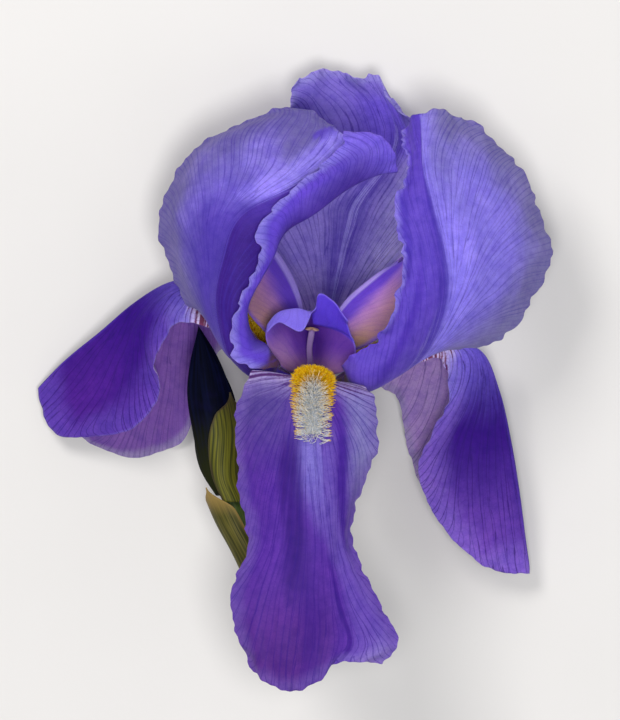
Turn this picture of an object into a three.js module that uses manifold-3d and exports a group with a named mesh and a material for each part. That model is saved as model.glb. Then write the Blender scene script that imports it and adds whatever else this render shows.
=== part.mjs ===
// Bearded iris flower, cut from the plant and laid on its back on a flat surface.
// Millimetres. +X is to the right of the flower, +Y points from the stem to the top of
// the flower, +Z points up from the surface, which is where the open front faces.
// The three falls hang at the front, the back left and the back right of the flower's
// axis, the three standards stand between them, and each fall has its beard, its
// stamen and the style arm that roofs it.

import * as THREE from 'three';
import Module from 'manifold-3d';

// ---- driving dimensions ----
const AXIS_X = 5;              // the flower's axis runs along Y at this x
const LOWEST_Z = -39;          // level of the surface before the flower is lifted onto it
const CENTRE_X = -0.4;         // middle of the flower's width before it is centred
const CENTRE_Y = -0.1;         // middle of its length
const PRESSED = 0.06;          // how much of a petal's skin is pressed flat where it lies
const PETAL_THICKNESS = 0.7;
const CLAW_THICKNESS = 1.1;    // petals are thicker where they join the tube
const CLAW_LENGTH = 0.25;      // share of the petal over which it thins from claw to blade
const RIB_THICKNESS = 0.5;     // added along the midrib, thinning towards the tip
const RIB_WIDTH = 0.14;        // share of the petal's width on each side of the midrib
const GAP = 0.3;               // clearance between neighbouring pieces
const SLACK = 0.3;             // added where a strip's facets bridge a curved petal
const TUBE_TOP_Y = -3.7;
const STANDARD_GRID = [18, 22];   // facets across and along
const FALL_GRID = [16, 22];
const STYLE_GRID = [10, 13];
const BEARD_HAIRS = 24;
const BEARD_THICKNESS = 0.8;   // of the strip in which the hairs are rooted
const HAIR_LENGTH = 3.4;
const HAIR_RADIUS = 0.42;
const HAIR_TAPER = 0.45;       // radius at the tip over radius at the root
const HAIR_ROOT_DEPTH = 0.1;   // how far a root starts below the strip's middle
const STEM_RADIUS = 3.2;
const BRANCH_RADIUS = 2.6;
const SHEATH_THICKNESS = 0.7;
const FULL_TURN = 2 * Math.PI;

// ---- colours ----
const COLOURS = {
  standard: 0x7468c8,
  fall: 0x55309f,
  beard: 0xe0b52c,
  style: 0x8a6ab4,
  stamen: 0xb39ac0,
  tube: 0x7d8f4e,
  ovary: 0x5f7f35,
  stem: 0x55782f,
  spathe: 0x7c8a45,
  dry: 0xa08a55,
  bud: 0x1d1f4a,
};

const wasm = await Module();
wasm.setup();

// ---- petals as smooth sheets over a few chosen points ----
// Each petal is a list of rows from its claw to its tip, each row a list of points
// [x, y, z] from one margin over the midrib to the other.

const STANDARD_LEFT = [
  [[0.2, -0.5, 0.6], [0.6, -0.8, 1.1], [0.9, -1.0, 1.7], [1.2, -1.0, 2.3], [1.5, -0.9, 2.9],
    [1.8, -0.7, 3.4],
    [2.1, -0.5, 3.9]],
  [[-5.2, 2.6, 0.5], [-5.6, 0.2, 2.6], [-5.8, -1.3, 4.8], [-5.6, -1.4, 6.8], [-5.0, -0.4, 8.6],
    [-4.5, 0.8, 9.8],
    [-4.0, 2.0, 10.8]],
  [[-12.0, 8.0, 0.2], [-12.4, 3.8, 4.6], [-11.4, 0.8, 9.0], [-8.8, 1.6, 12.2], [-5.8, 3.6, 14.6],
    [-4.2, 4.2, 16.4], [-3.8, 3.2, 18.0]],
  [[-18.0, 12.5, -1.0], [-17.4, 8.6, 5.4], [-15.4, 4.4, 12.0], [-12.0, 5.2, 15.2], [-7.4, 8.2, 16.4],
    [-6.6, 5.4, 18.6], [-9.6, 2.4, 20.0]],
  [[-22.0, 15.5, -2.0], [-20.8, 12.0, 6.0], [-17.8, 8.0, 14.0], [-14.4, 8.8, 17.0], [-10.6, 10.8, 17.6],
    [-11.3, 7.6, 20.4], [-15.4, 5.8, 21.2]],
  [[-26.8, 19.0, -5.0], [-24.4, 19.5, 7.0], [-20.0, 19.5, 16.5], [-16.0, 19.0, 19.2], [-12.2, 18.5, 19.2],
    [-12.1, 17.6, 22.0], [-14.8, 16.8, 23.4]],
  [[-31.4, 27.0, -8.0], [-27.0, 30.0, 7.5], [-18.2, 31.0, 18.5], [-13.0, 30.5, 20.6], [-6.6, 30.0, 19.6],
    [-6.2, 29.0, 22.4], [-8.9, 28.0, 24.2]],
  [[-33.8, 38.4, -9.0], [-27.0, 40.5, 8.0], [-15.4, 40.0, 19.0], [-10.6, 38.6, 20.6], [-2.6, 36.4, 19.4],
    [-4.0, 37.4, 22.8], [-9.6, 35.2, 24.6]],
  [[-31.2, 49.4, -8.0], [-23.0, 51.6, 7.0], [-9.0, 46.4, 17.4], [-4.0, 43.0, 18.8], [4.6, 40.8, 17.0],
    [1.0, 43.6, 21.6], [-6.0, 41.6, 23.0]],
  [[-21.6, 59.4, -5.0], [-13.8, 60.0, 6.0], [0.6, 52.6, 13.4], [6.0, 49.0, 14.8], [13.2, 47.2, 13.0],
    [10.6, 50.8, 18.0], [2.8, 49.8, 19.8]],
  [[-7.2, 66.5, -1.5], [0.5, 65.0, 4.5], [8.6, 59.0, 8.6], [14.0, 54.0, 9.6], [20.6, 50.6, 9.4],
    [18.4, 56.0, 14.8], [10.4, 56.4, 17.0]],
  [[1.8, 66.8, 0.0], [6.4, 65.4, 3.0], [11.6, 61.0, 6.2], [18.0, 56.0, 6.6], [25.6, 51.4, 8.0],
    [22.6, 59.6, 12.6], [12.8, 61.8, 14.6]],
];

const STANDARD_RIGHT = [
  [[8.0, -0.5, 3.9], [8.3, -0.8, 3.2], [8.7, -1.0, 2.5], [9.1, -1.0, 1.9], [9.5, -0.8, 1.2],
    [9.9, -0.5, 0.6]],
  [[12.4, 0.6, 11.6], [13.8, -2.2, 10.2], [15.2, -3.4, 8.2], [16.6, -3.4, 6.2], [17.8, -2.0, 3.8],
    [18.2, 0.6, 1.2]],
  [[12.2, 3.8, 18.0], [14.6, 0.6, 19.2], [19.0, -1.5, 16.8], [24.6, 0.2, 12.0], [29.0, 3.2, 6.2],
    [30.4, 7.6, -1.4]],
  [[20.2, 9.6, 22.0], [22.2, 8.6, 20.6], [25.4, 8.2, 20.2], [31.2, 9.4, 17.0], [41.0, 10.0, 8.0],
    [49.4, 8.6, -4.0]],
  [[24.8, 18.0, 23.4], [27.2, 18.6, 22.2], [30.4, 19.4, 22.2], [36.4, 21.0, 19.6], [49.0, 19.4, 9.0],
    [56.2, 15.0, -6.0]],
  [[26.8, 29.6, 22.8], [29.2, 30.6, 21.8], [32.0, 31.4, 21.8], [37.6, 32.0, 20.2], [52.4, 33.0, 9.0],
    [63.6, 27.8, -8.0]],
  [[24.8, 42.6, 18.6], [28.4, 42.8, 18.8], [31.4, 43.2, 19.4], [36.0, 43.4, 18.4], [50.2, 45.4, 8.0],
    [61.0, 43.4, -7.5]],
  [[28.2, 52.6, 11.6], [29.6, 53.6, 12.2], [31.2, 54.4, 13.2], [33.4, 55.2, 12.8], [43.6, 57.4, 5.6],
    [53.2, 56.0, -5.0]],
  [[26.6, 61.6, 1.6], [28.6, 64.4, 2.6], [30.6, 66.0, 3.4], [33.6, 66.8, 3.4], [39.6, 66.2, 1.0],
    [45.4, 62.6, -2.6]],
];

const STANDARD_BACK = [
  [[3.1, -0.5, -3.9], [4.0, -0.7, -4.4], [5.0, -0.8, -4.6], [6.0, -0.7, -4.4], [6.9, -0.5, -3.9]],
  [[-0.6, 8.0, -9.6], [2.6, 7.0, -11.6], [6.2, 6.6, -12.2], [9.6, 7.0, -11.4], [12.0, 8.0, -9.4]],
  [[-8.0, 19.0, -17.6], [-1.0, 18.0, -23.4], [9.0, 17.6, -25.4], [16.0, 18.0, -22.6], [20.4, 19.0, -17.0]],
  [[-17.0, 31.0, -20.4], [-6.0, 30.0, -31.4], [11.6, 29.6, -35.6], [22.0, 30.0, -29.6],
    [28.4, 31.0, -19.6]],
  [[-20.4, 44.0, -20.0], [-7.0, 43.6, -33.4], [14.6, 43.0, -39.6], [27.4, 43.6, -31.4],
    [33.0, 44.0, -20.0]],
  [[-15.4, 57.0, -19.0], [-4.0, 57.2, -30.4], [17.0, 56.6, -35.6], [28.6, 56.6, -29.0],
    [33.4, 55.6, -20.4]],
  [[-2.6, 67.0, -19.6], [4.6, 68.8, -26.6], [17.4, 69.2, -28.6], [25.0, 67.0, -25.8], [30.2, 63.8, -21.0]],
  [[0.4, 74.2, -20.6], [6.0, 77.6, -23.0], [13.8, 76.0, -24.0], [20.4, 75.5, -23.6], [25.6, 68.2, -21.8]],
];

const FALL_FRONT = [
  [[3.1, -1.6, 4.4], [3.8, -1.9, 4.6], [4.4, -2.1, 4.7], [5.0, -2.2, 4.7], [5.6, -2.1, 4.7],
    [6.2, -1.9, 4.6],
    [6.9, -1.6, 4.4]],
  [[-0.8, -2.0, 12.0], [0.8, -3.4, 12.0], [2.8, -4.2, 12.0], [5.0, -4.4, 12.0], [7.2, -4.2, 12.0],
    [9.2, -3.4, 12.0],
    [10.8, -2.4, 12.0]],
  [[-7.0, 0.5, 18.2], [-3.4, -0.8, 19.4], [1.0, -2.0, 20.0], [4.8, -2.2, 20.2], [8.6, -2.0, 20.0],
    [12.0, -1.6, 19.4],
    [14.6, -1.8, 18.6]],
  [[-11.0, 1.4, 22.2], [-6.4, 1.3, 24.6], [-0.2, 0.2, 26.6], [4.6, -0.4, 27.2], [9.4, -1.0, 26.6],
    [14.2, -1.8, 24.4],
    [18.0, -3.0, 22.2]],
  [[-13.4, -4.4, 22.6], [-9.0, -4.6, 26.4], [-2.6, -5.6, 30.2], [4.4, -6.2, 31.2], [10.6, -6.2, 30.2],
    [16.0, -5.8, 26.8], [20.2, -6.0, 23.4]],
  [[-15.0, -14.2, 22.6], [-10.4, -15.0, 27.8], [-3.0, -16.0, 32.0], [4.6, -16.6, 33.2], [11.6, -16.6, 31.6],
    [17.0, -16.2, 27.6], [20.2, -15.8, 23.4]],
  [[-14.0, -26.0, 24.2], [-9.6, -27.0, 28.8], [-2.6, -28.0, 32.6], [5.4, -28.2, 33.8], [11.2, -28.2, 31.4],
    [14.8, -28.2, 27.6], [17.0, -28.0, 23.4]],
  [[-11.8, -40.2, 27.2], [-8.0, -40.2, 30.4], [-1.6, -40.2, 33.0], [6.6, -40.2, 33.4], [10.2, -40.2, 31.0],
    [12.4, -40.0, 28.2], [13.7, -39.6, 25.4]],
  [[-15.8, -53.0, 28.4], [-10.0, -53.0, 31.4], [-2.4, -53.0, 32.6], [7.2, -53.2, 31.8], [12.0, -53.2, 31.2],
    [16.4, -53.2, 29.2], [20.0, -53.0, 27.4]],
  [[-14.1, -65.2, 29.4], [-9.0, -66.0, 32.0], [-2.0, -66.0, 31.2], [7.4, -64.4, 28.8], [13.6, -64.6, 30.0],
    [20.0, -65.0, 29.4], [25.6, -65.4, 27.8]],
  [[-11.4, -71.8, 29.0], [-6.6, -75.8, 31.0], [-1.0, -77.8, 29.8], [5.6, -75.6, 27.6], [9.4, -71.4, 28.0],
    [14.4, -70.4, 28.8], [21.8, -71.0, 27.6]],
];

const FALL_LEFT = [
  [[0.2, -1.6, -0.6], [0.5, -1.9, -1.2], [0.8, -2.1, -1.8], [1.0, -2.2, -2.3], [1.3, -2.1, -2.8],
    [1.7, -1.9, -3.4],
    [2.1, -1.6, -3.9]],
  [[-8.6, 4.6, -1.8], [-7.9, 5.7, -3.6], [-7.2, 6.8, -5.6], [-6.6, 6.8, -7.0], [-5.6, 6.6, -8.6],
    [-4.4, 5.4, -10.4],
    [-3.2, 4.0, -12.0]],
  [[-15.4, 9.0, -4.8], [-14.4, 11.8, -6.6], [-13.2, 13.8, -8.6], [-12.4, 14.2, -10.2],
    [-11.4, 13.6, -12.2],
    [-10.0, 10.8, -14.8], [-9.0, 7.4, -16.8]],
  [[-21.4, 12.6, -8.0], [-20.7, 16.7, -9.8], [-20.0, 19.6, -12.0], [-19.4, 20.4, -14.2],
    [-18.8, 19.0, -17.0],
    [-17.4, 14.4, -20.0], [-16.0, 8.2, -22.2]],
  [[-26.4, 13.8, -10.2], [-26.4, 17.8, -12.0], [-26.4, 21.8, -14.6], [-26.8, 24.2, -17.6],
    [-25.0, 21.6, -21.6],
    [-22.2, 14.0, -25.4], [-20.0, 5.4, -27.4]],
  [[-31.4, 12.4, -12.0], [-32.0, 16.4, -14.2], [-32.2, 20.8, -17.4], [-32.6, 23.4, -20.8],
    [-29.8, 18.0, -25.8],
    [-26.2, 8.0, -30.0], [-23.6, -3.4, -31.6]],
  [[-34.8, 4.2, -14.6], [-36.6, 10.2, -17.0], [-38.6, 15.6, -20.6], [-40.6, 18.4, -24.2],
    [-36.2, 9.6, -29.8],
    [-31.2, -2.4, -33.8], [-27.6, -15.0, -35.6]],
  [[-34.4, -4.6, -17.4], [-38.6, 1.2, -19.6], [-43.6, 7.4, -23.2], [-49.2, 11.2, -27.4],
    [-44.0, 2.0, -33.0],
    [-38.6, -9.4, -36.8], [-34.2, -18.8, -38.8]],
  [[-40.8, -12.8, -22.6], [-45.6, -6.6, -24.2], [-51.2, -0.6, -27.4], [-57.8, 4.2, -31.6],
    [-52.4, -4.4, -35.8],
    [-46.8, -13.4, -37.8], [-42.6, -20.0, -39.6]],
  [[-52.4, -15.2, -29.0], [-59.4, -14.6, -31.8], [-63.4, -9.4, -34.0], [-64.8, -2.8, -35.4],
    [-61.0, -8.0, -37.4],
    [-56.0, -13.2, -37.6], [-51.6, -16.6, -38.2]],
];

const FALL_RIGHT = [
  [[9.9, -1.6, -0.6], [9.6, -1.9, -1.2], [9.3, -2.1, -1.8], [9.0, -2.2, -2.3], [8.7, -2.1, -2.8],
    [8.3, -1.9, -3.4],
    [7.9, -1.6, -3.9]],
  [[17.8, 1.8, -2.0], [17.4, 2.9, -3.8], [17.0, 3.8, -5.6], [16.6, 3.8, -7.0], [15.6, 3.4, -8.6],
    [14.4, 2.6, -10.4],
    [13.2, 1.6, -12.0]],
  [[25.2, 2.2, -5.2], [24.5, 4.8, -7.0], [23.4, 6.6, -9.0], [22.6, 7.0, -10.6], [21.2, 6.0, -13.0],
    [19.2, 3.4, -15.6],
    [17.4, 0.4, -17.6]],
  [[31.5, 3.8, -8.2], [31.1, 6.8, -10.0], [30.4, 8.8, -12.2], [29.8, 9.4, -14.4], [27.8, 8.0, -17.6],
    [24.6, 3.2, -20.8], [21.6, -2.4, -22.8]],
  [[37.0, 4.6, -11.0], [37.6, 7.0, -12.6], [38.0, 8.8, -15.0], [38.6, 9.2, -18.2], [35.2, 6.6, -22.4],
    [30.0, 0.8, -25.8], [26.0, -5.4, -27.8]],
  [[38.4, -3.4, -13.0], [41.6, 1.0, -15.0], [44.6, 4.8, -18.0], [47.0, 6.1, -21.6], [43.0, 0.8, -27.0],
    [34.4, -7.0, -31.2], [27.4, -13.4, -33.0]],
  [[36.4, -10.6, -14.8], [41.0, -7.2, -16.6], [46.2, -4.8, -20.0], [51.2, -3.6, -24.2], [46.2, -8.0, -30.2],
    [37.2, -14.2, -35.0], [29.2, -20.4, -37.0]],
  [[31.0, -20.8, -16.6], [37.4, -18.2, -18.0], [46.0, -16.6, -21.2], [54.0, -16.0, -26.0],
    [48.8, -20.0, -32.0],
    [40.2, -24.6, -36.6], [31.8, -27.0, -38.9]],
  [[32.2, -28.6, -18.8], [39.6, -28.4, -20.2], [48.2, -28.8, -23.4], [56.2, -29.0, -28.0],
    [50.6, -32.2, -33.2],
    [43.6, -34.8, -37.2], [38.4, -36.6, -39.6]],
  [[38.0, -38.8, -22.0], [45.0, -38.8, -23.8], [51.6, -39.8, -26.6], [58.0, -41.0, -30.4],
    [53.6, -42.2, -34.4],
    [49.0, -42.4, -36.8], [45.4, -42.4, -38.2]],
  [[47.0, -47.2, -26.6], [50.8, -48.6, -27.8], [54.8, -49.3, -29.4], [59.6, -49.2, -31.4],
    [56.8, -47.8, -33.8],
    [54.0, -46.8, -35.8], [51.4, -46.0, -37.4]],
];

const STYLE_FRONT = [
  [[3.2, 0.8, 2.6], [3.8, 0.7, 2.8], [4.4, 0.6, 2.9], [5.0, 0.5, 3.0], [5.6, 0.6, 2.9],
    [6.2, 0.7, 2.8], [6.8, 0.8, 2.6]],
  [[-2.5, 2.2, 7.4], [-0.3, 2.6, 6.8], [2.2, 3.1, 5.9], [4.9, 3.5, 5.4], [7.6, 3.1, 5.9],
    [10.2, 2.4, 6.8], [12.4, 1.8, 7.6]],
  [[-6.2, 6.4, 10.6], [-3.4, 7.4, 9.8], [0.6, 8.4, 8.9], [4.6, 8.8, 8.4], [8.6, 8.5, 8.9], [12.4, 7.6, 9.8],
    [15.2, 6.2, 10.6]],
  [[-7.4, 11.0, 12.2], [-4.4, 12.0, 11.8], [0.0, 13.0, 11.4], [4.4, 13.4, 10.9], [8.6, 13.0, 11.6],
    [12.2, 12.2, 12.0],
    [14.2, 10.8, 12.2]],
  [[-6.8, 13.2, 13.4], [-4.0, 16.2, 13.4], [0.4, 17.2, 13.2], [4.2, 16.2, 12.0], [7.0, 16.6, 13.2],
    [10.6, 16.0, 13.6],
    [13.4, 13.4, 13.4]],
  [[-7.0, 11.6, 15.2], [-3.8, 13.8, 16.2], [1.5, 11.6, 16.8], [4.3, 16.6, 13.8], [6.1, 21.2, 14.2],
    [10.2, 18.9, 14.9],
    [13.6, 14.4, 15.1]],
];

const STYLE_LEFT = [
  [[3.2, 1.0, 0.8], [2.8, 1.6, 0.0], [2.4, 2.4, -1.4], [3.0, 1.6, -2.4], [3.6, 1.0, -3.0]],
  [[-2.8, 6.6, 3.4], [-0.2, 10.0, 1.4], [2.2, 12.4, -2.0], [0.6, 9.2, -5.0], [0.2, 6.6, -7.0]],
  [[-8.0, 12.0, 2.6], [-4.6, 16.8, 1.0], [0.8, 21.0, -4.0], [-1.8, 16.8, -8.0], [-3.6, 13.4, -10.0]],
  [[-12.6, 17.6, 0.4], [-8.8, 23.2, -1.4], [-2.2, 27.8, -6.6], [-5.6, 23.2, -11.0], [-8.2, 19.6, -13.4]],
  [[-14.6, 25.0, -2.4], [-12.0, 29.6, -3.6], [-6.6, 33.6, -9.0], [-9.6, 29.4, -13.6], [-12.4, 25.2, -16.0]],
  [[-16.6, 29.6, -3.6], [-15.4, 35.8, -5.0], [-11.6, 34.6, -10.4], [-14.0, 35.8, -15.0],
    [-15.6, 30.0, -17.4]],
];

const STYLE_RIGHT = [
  [[6.8, 1.0, 0.8], [7.2, 1.6, 0.0], [7.6, 2.4, -1.4], [7.0, 1.6, -2.4], [6.4, 1.0, -3.0]],
  [[13.6, 6.0, 3.4], [11.2, 9.6, 1.4], [9.0, 12.4, -2.0], [9.8, 8.8, -5.0], [10.2, 6.2, -7.0]],
  [[18.8, 8.6, 2.6], [16.0, 14.2, 1.0], [12.6, 18.8, -4.0], [13.6, 14.6, -8.0], [15.0, 11.0, -10.0]],
  [[23.4, 11.8, 0.4], [20.6, 18.4, -1.4], [17.0, 23.0, -6.6], [18.0, 18.6, -11.0], [20.0, 15.2, -13.4]],
  [[27.0, 16.6, -2.0], [24.6, 22.8, -3.6], [21.6, 26.6, -9.0], [22.4, 23.0, -13.6], [24.2, 19.4, -16.0]],
  [[28.6, 22.4, -3.6], [28.6, 29.4, -5.0], [25.8, 28.6, -10.4], [27.0, 30.2, -15.0], [28.2, 24.2, -17.4]],
];

// Weights of the four points around t on a curve that passes through its points.
function curveWeights(t) {
  return [
    ((2 - t) * t - 1) * t / 2,
    ((3 * t - 5) * t * t + 2) / 2,
    ((4 - 3 * t) * t + 1) * t / 2,
    (t - 1) * t * t / 2,
  ];
}

// The point with index i of a row, carried on in a straight line beyond both ends.
function pointAt(list, i, read) {
  const last = list.length - 1;
  if (i < 0) {
    return read(list[0]).clone().multiplyScalar(2).sub(read(list[1]));
  }
  if (i > last) {
    return read(list[last]).clone().multiplyScalar(2).sub(read(list[last - 1]));
  }
  return read(list[i]);
}

function alongCurve(list, s, read) {
  const span = s * (list.length - 1);
  const start = Math.min(Math.floor(span), list.length - 2);
  const weights = curveWeights(span - start);
  const sum = new THREE.Vector3();
  for (let k = 0; k < 4; k += 1) {
    sum.addScaledVector(pointAt(list, start - 1 + k, read), weights[k]);
  }
  return sum;
}

const asVector = (p) => new THREE.Vector3(p[0], p[1], p[2]);

// The smooth surface over the rows, u across from one margin to the other, v along.
function surfaceOver(rows) {
  return (u, v) => alongCurve(rows, v, (row) => alongCurve(row, u, asVector));
}

// Waves that grow towards both margins, out of step with each other, and towards the tip.
function ruffleOf({ height, waves, phase, tipHeight, tipWaves }) {
  const offStep = 0.37;
  return (u, v) => {
    const towardsMargin = Math.abs(2 * u - 1) ** 4;
    const fromClaw = Math.min(1, v * 3);
    const shift = phase + (u < 0.5 ? offStep : 0);
    const side = height * towardsMargin * fromClaw * Math.sin(FULL_TURN * (waves * v + shift));
    return side + tipHeight * v ** 8 * Math.sin(FULL_TURN * (tipWaves * u + phase));
  };
}

// Thicker in the claw and along the midrib at u = rib.
function thicknessOf(rib) {
  return (u, v) => {
    const claw = Math.max(0, 1 - v / CLAW_LENGTH);
    const nearRib = Math.max(0, 1 - Math.abs(u - rib) / RIB_WIDTH);
    return PETAL_THICKNESS + (CLAW_THICKNESS - PETAL_THICKNESS) * claw + RIB_THICKNESS * nearRib * (1 - v);
  };
}

function gridNormals(points) {
  const rows = points.length;
  const columns = points[0].length;
  return points.map((row, i) => row.map((_, j) => {
    const along = points[Math.min(i + 1, rows - 1)][j].clone().sub(points[Math.max(i - 1, 0)][j]);
    const across = points[i][Math.min(j + 1, columns - 1)].clone().sub(points[i][Math.max(j - 1, 0)]);
    return across.cross(along).normalize();
  }));
}

// A closed sheet: both faces split into the same triangles, and a rim between them.
function closedSheet(points, thicknessAt) {
  const rows = points.length;
  const columns = points[0].length;
  const normals = gridNormals(points);
  const positions = [];
  for (const side of [0.5, -0.5]) {
    for (let i = 0; i < rows; i += 1) {
      for (let j = 0; j < columns; j += 1) {
        const half = side * thicknessAt(j / (columns - 1), i / (rows - 1));
        const p = points[i][j].clone().addScaledVector(normals[i][j], half);
        positions.push(p.x, p.y, Math.max(p.z, LOWEST_Z));
      }
    }
  }
  const back = rows * columns;
  const at = (i, j) => i * columns + j;
  const index = [];
  for (let i = 0; i < rows - 1; i += 1) {
    for (let j = 0; j < columns - 1; j += 1) {
      const a = at(i, j);
      const b = at(i, j + 1);
      const c = at(i + 1, j + 1);
      const d = at(i + 1, j);
      const oneWay = points[i][j].distanceTo(points[i + 1][j + 1]);
      const otherWay = points[i][j + 1].distanceTo(points[i + 1][j]);
      const pair = oneWay < otherWay ? [[a, b, c], [a, c, d]] : [[a, b, d], [b, c, d]];
      for (const [p, q, r] of pair) {
        index.push(p, q, r, back + p, back + r, back + q);
      }
    }
  }
  const rim = [];
  for (let j = 0; j < columns - 1; j += 1) {
    rim.push(at(0, j));
  }
  for (let i = 0; i < rows - 1; i += 1) {
    rim.push(at(i, columns - 1));
  }
  for (let j = columns - 1; j > 0; j -= 1) {
    rim.push(at(rows - 1, j));
  }
  for (let i = rows - 1; i > 0; i -= 1) {
    rim.push(at(i, 0));
  }
  rim.forEach((p, k) => {
    const q = rim[(k + 1) % rim.length];
    index.push(q, p, back + p, q, back + p, back + q);
  });
  return meshFrom(positions, index);
}

function meshFrom(positions, index) {
  const geometry = new THREE.BufferGeometry();
  geometry.setAttribute('position', new THREE.Float32BufferAttribute(positions, 3));
  geometry.setIndex(index);
  return geometry;
}

// The grid of a petal's middle surface, waved, and pressed flat where it lies on the ground.
function sheetPoints(surface, [across, along], ruffle, thicknessAt) {
  const plain = [];
  for (let i = 0; i <= along; i += 1) {
    const row = [];
    for (let j = 0; j <= across; j += 1) {
      row.push(surface(j / across, i / along));
    }
    plain.push(row);
  }
  const normals = gridNormals(plain);
  return plain.map((row, i) => row.map((p, j) => {
    const u = j / across;
    const v = i / along;
    const waved = p.clone().addScaledVector(normals[i][j], ruffle(u, v));
    waved.z = Math.max(waved.z, LOWEST_Z + thicknessAt(u, v) / 2 - PRESSED);
    return waved;
  }));
}

function petal(rows, grid, rib, waves) {
  const thicknessAt = thicknessOf(rib);
  return closedSheet(sheetPoints(surfaceOver(rows), grid, ruffleOf(waves), thicknessAt), thicknessAt);
}

// ---- round bodies along a curve ----
// stations: [x, y, z, radius]; sides: facets round it; a radius of 0 ends in a point.
function roundBody(stations, steps, sides, flute = 0) {
  const centreAt = (s) => alongCurve(stations, s, asVector);
  const radiusAt = (s) => alongCurve(stations, s, (p) => new THREE.Vector3(p[3], 0, 0)).x;
  const positions = [];
  const index = [];
  let side = new THREE.Vector3(1, 0, 0.2);
  const rings = [];
  for (let i = 0; i <= steps; i += 1) {
    const s = i / steps;
    const centre = centreAt(s);
    const tangent = centreAt(Math.min(1, s + 0.01)).sub(centreAt(Math.max(0, s - 0.01))).normalize();
    side = side.addScaledVector(tangent, -side.dot(tangent)).normalize();
    const other = tangent.clone().cross(side);
    const radius = radiusAt(s);
    const ring = [];
    if (i === 0 || i === steps) {
      rings.push([positions.length / 3]);
      positions.push(centre.x, centre.y, centre.z);
    }
    if (radius > 0.05) {
      for (let k = 0; k < sides; k += 1) {
        const turn = FULL_TURN * k / sides;
        const r = radius * (1 + flute * Math.cos(3 * turn));
        const p = centre.clone().addScaledVector(side, r * Math.cos(turn));
        p.addScaledVector(other, r * Math.sin(turn));
        ring.push(positions.length / 3);
        positions.push(p.x, p.y, p.z);
      }
      if (i === steps) {
        rings.splice(rings.length - 1, 0, ring);
      } else {
        rings.push(ring);
      }
    }
  }
  for (let i = 0; i < rings.length - 1; i += 1) {
    const low = rings[i];
    const high = rings[i + 1];
    for (let k = 0; k < sides; k += 1) {
      const next = (k + 1) % sides;
      if (low.length === 1) {
        index.push(low[0], high[next], high[k]);
      } else if (high.length === 1) {
        index.push(high[0], low[k], low[next]);
      } else {
        index.push(low[k], low[next], high[next], low[k], high[next], high[k]);
      }
    }
  }
  return meshFrom(positions, index);
}

// ---- solids joined in one body ----
function solidFrom(geometry) {
  const mesh = new wasm.Mesh({
    numProp: 3,
    vertProperties: Float32Array.from(geometry.getAttribute('position').array),
    triVerts: Uint32Array.from(geometry.getIndex().array),
  });
  return new wasm.Manifold(mesh);
}

function geometryFrom(solid) {
  const mesh = solid.getMesh();
  return meshFrom(Array.from(mesh.vertProperties), Array.from(mesh.triVerts));
}

function joined(geometries) {
  let solid = solidFrom(geometries[0]);
  for (const geometry of geometries.slice(1)) {
    solid = solid.add(solidFrom(geometry));
  }
  return geometryFrom(solid);
}

function seededDraw(seed) {
  let state = seed;
  return () => {
    state = (state * 1664525 + 1013904223) % 4294967296;
    return state / 4294967296;
  };
}

// A three-sided hair from its root, which is sunk in the strip, to its tip.
function hair(root, tip) {
  const stations = [[root.x, root.y, root.z, HAIR_RADIUS],
    [tip.x, tip.y, tip.z, HAIR_RADIUS * HAIR_TAPER]];
  return roundBody(stations, 1, 3);
}

// The beard: a strip of hairs along the midrib of a fall, between two shares of its
// length, on the side of the sheet that face names (1 or -1).
function beard(rows, { face, from, to, halfWidth, seed }) {
  const rib = 0.5;
  const across = 2;
  const along = 7;
  const step = 0.01;
  const endWidth = 0.45;       // width at the ends over the full width
  const hairSpread = 0.75;     // how near to the strip's edges the roots come
  const lean = 1.5;            // the tips stand that much further out than the roots
  const surface = surfaceOver(rows);
  const draw = seededDraw(seed);
  const thicknessAt = thicknessOf(rib);
  const frameAt = (u, v) => {
    const p = surface(u, v);
    const du = surface(u + step, v).sub(surface(u - step, v));
    const dv = surface(u, v + step).sub(surface(u, v - step));
    const width = du.length() / (2 * step);
    return { p, width, n: du.cross(dv).normalize().multiplyScalar(face) };
  };
  const onStrip = (side, v, height) => {
    const share = (v - from) / (to - from);
    const narrowed = Math.min(1, endWidth + 2.2 * Math.min(share, 1.15 - share));
    const u = rib + side * halfWidth * narrowed / frameAt(rib, v).width;
    const { p, n } = frameAt(u, v);
    const lift = thicknessAt(rib, v) / 2 + GAP + SLACK + BEARD_THICKNESS / 2;
    return p.addScaledVector(n, lift + height);
  };
  const points = [];
  for (let i = 0; i <= along; i += 1) {
    const row = [];
    for (let j = 0; j <= across; j += 1) {
      row.push(onStrip(2 * j / across - 1, from + (to - from) * i / along, 0));
    }
    points.push(row);
  }
  const parts = [closedSheet(points, () => BEARD_THICKNESS)];
  for (let k = 0; k < BEARD_HAIRS; k += 1) {
    const side = hairSpread * (2 * draw() - 1);
    const v = from + (to - from) * (0.04 + 0.92 * (k + 0.6 * draw()) / BEARD_HAIRS);
    const root = onStrip(side, v, -HAIR_ROOT_DEPTH);
    const tip = onStrip(side * lean, v + (draw() - 0.4) * 0.012, HAIR_LENGTH * (0.7 + 0.4 * draw()));
    parts.push(hair(root, tip));
  }
  return joined(parts);
}

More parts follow.
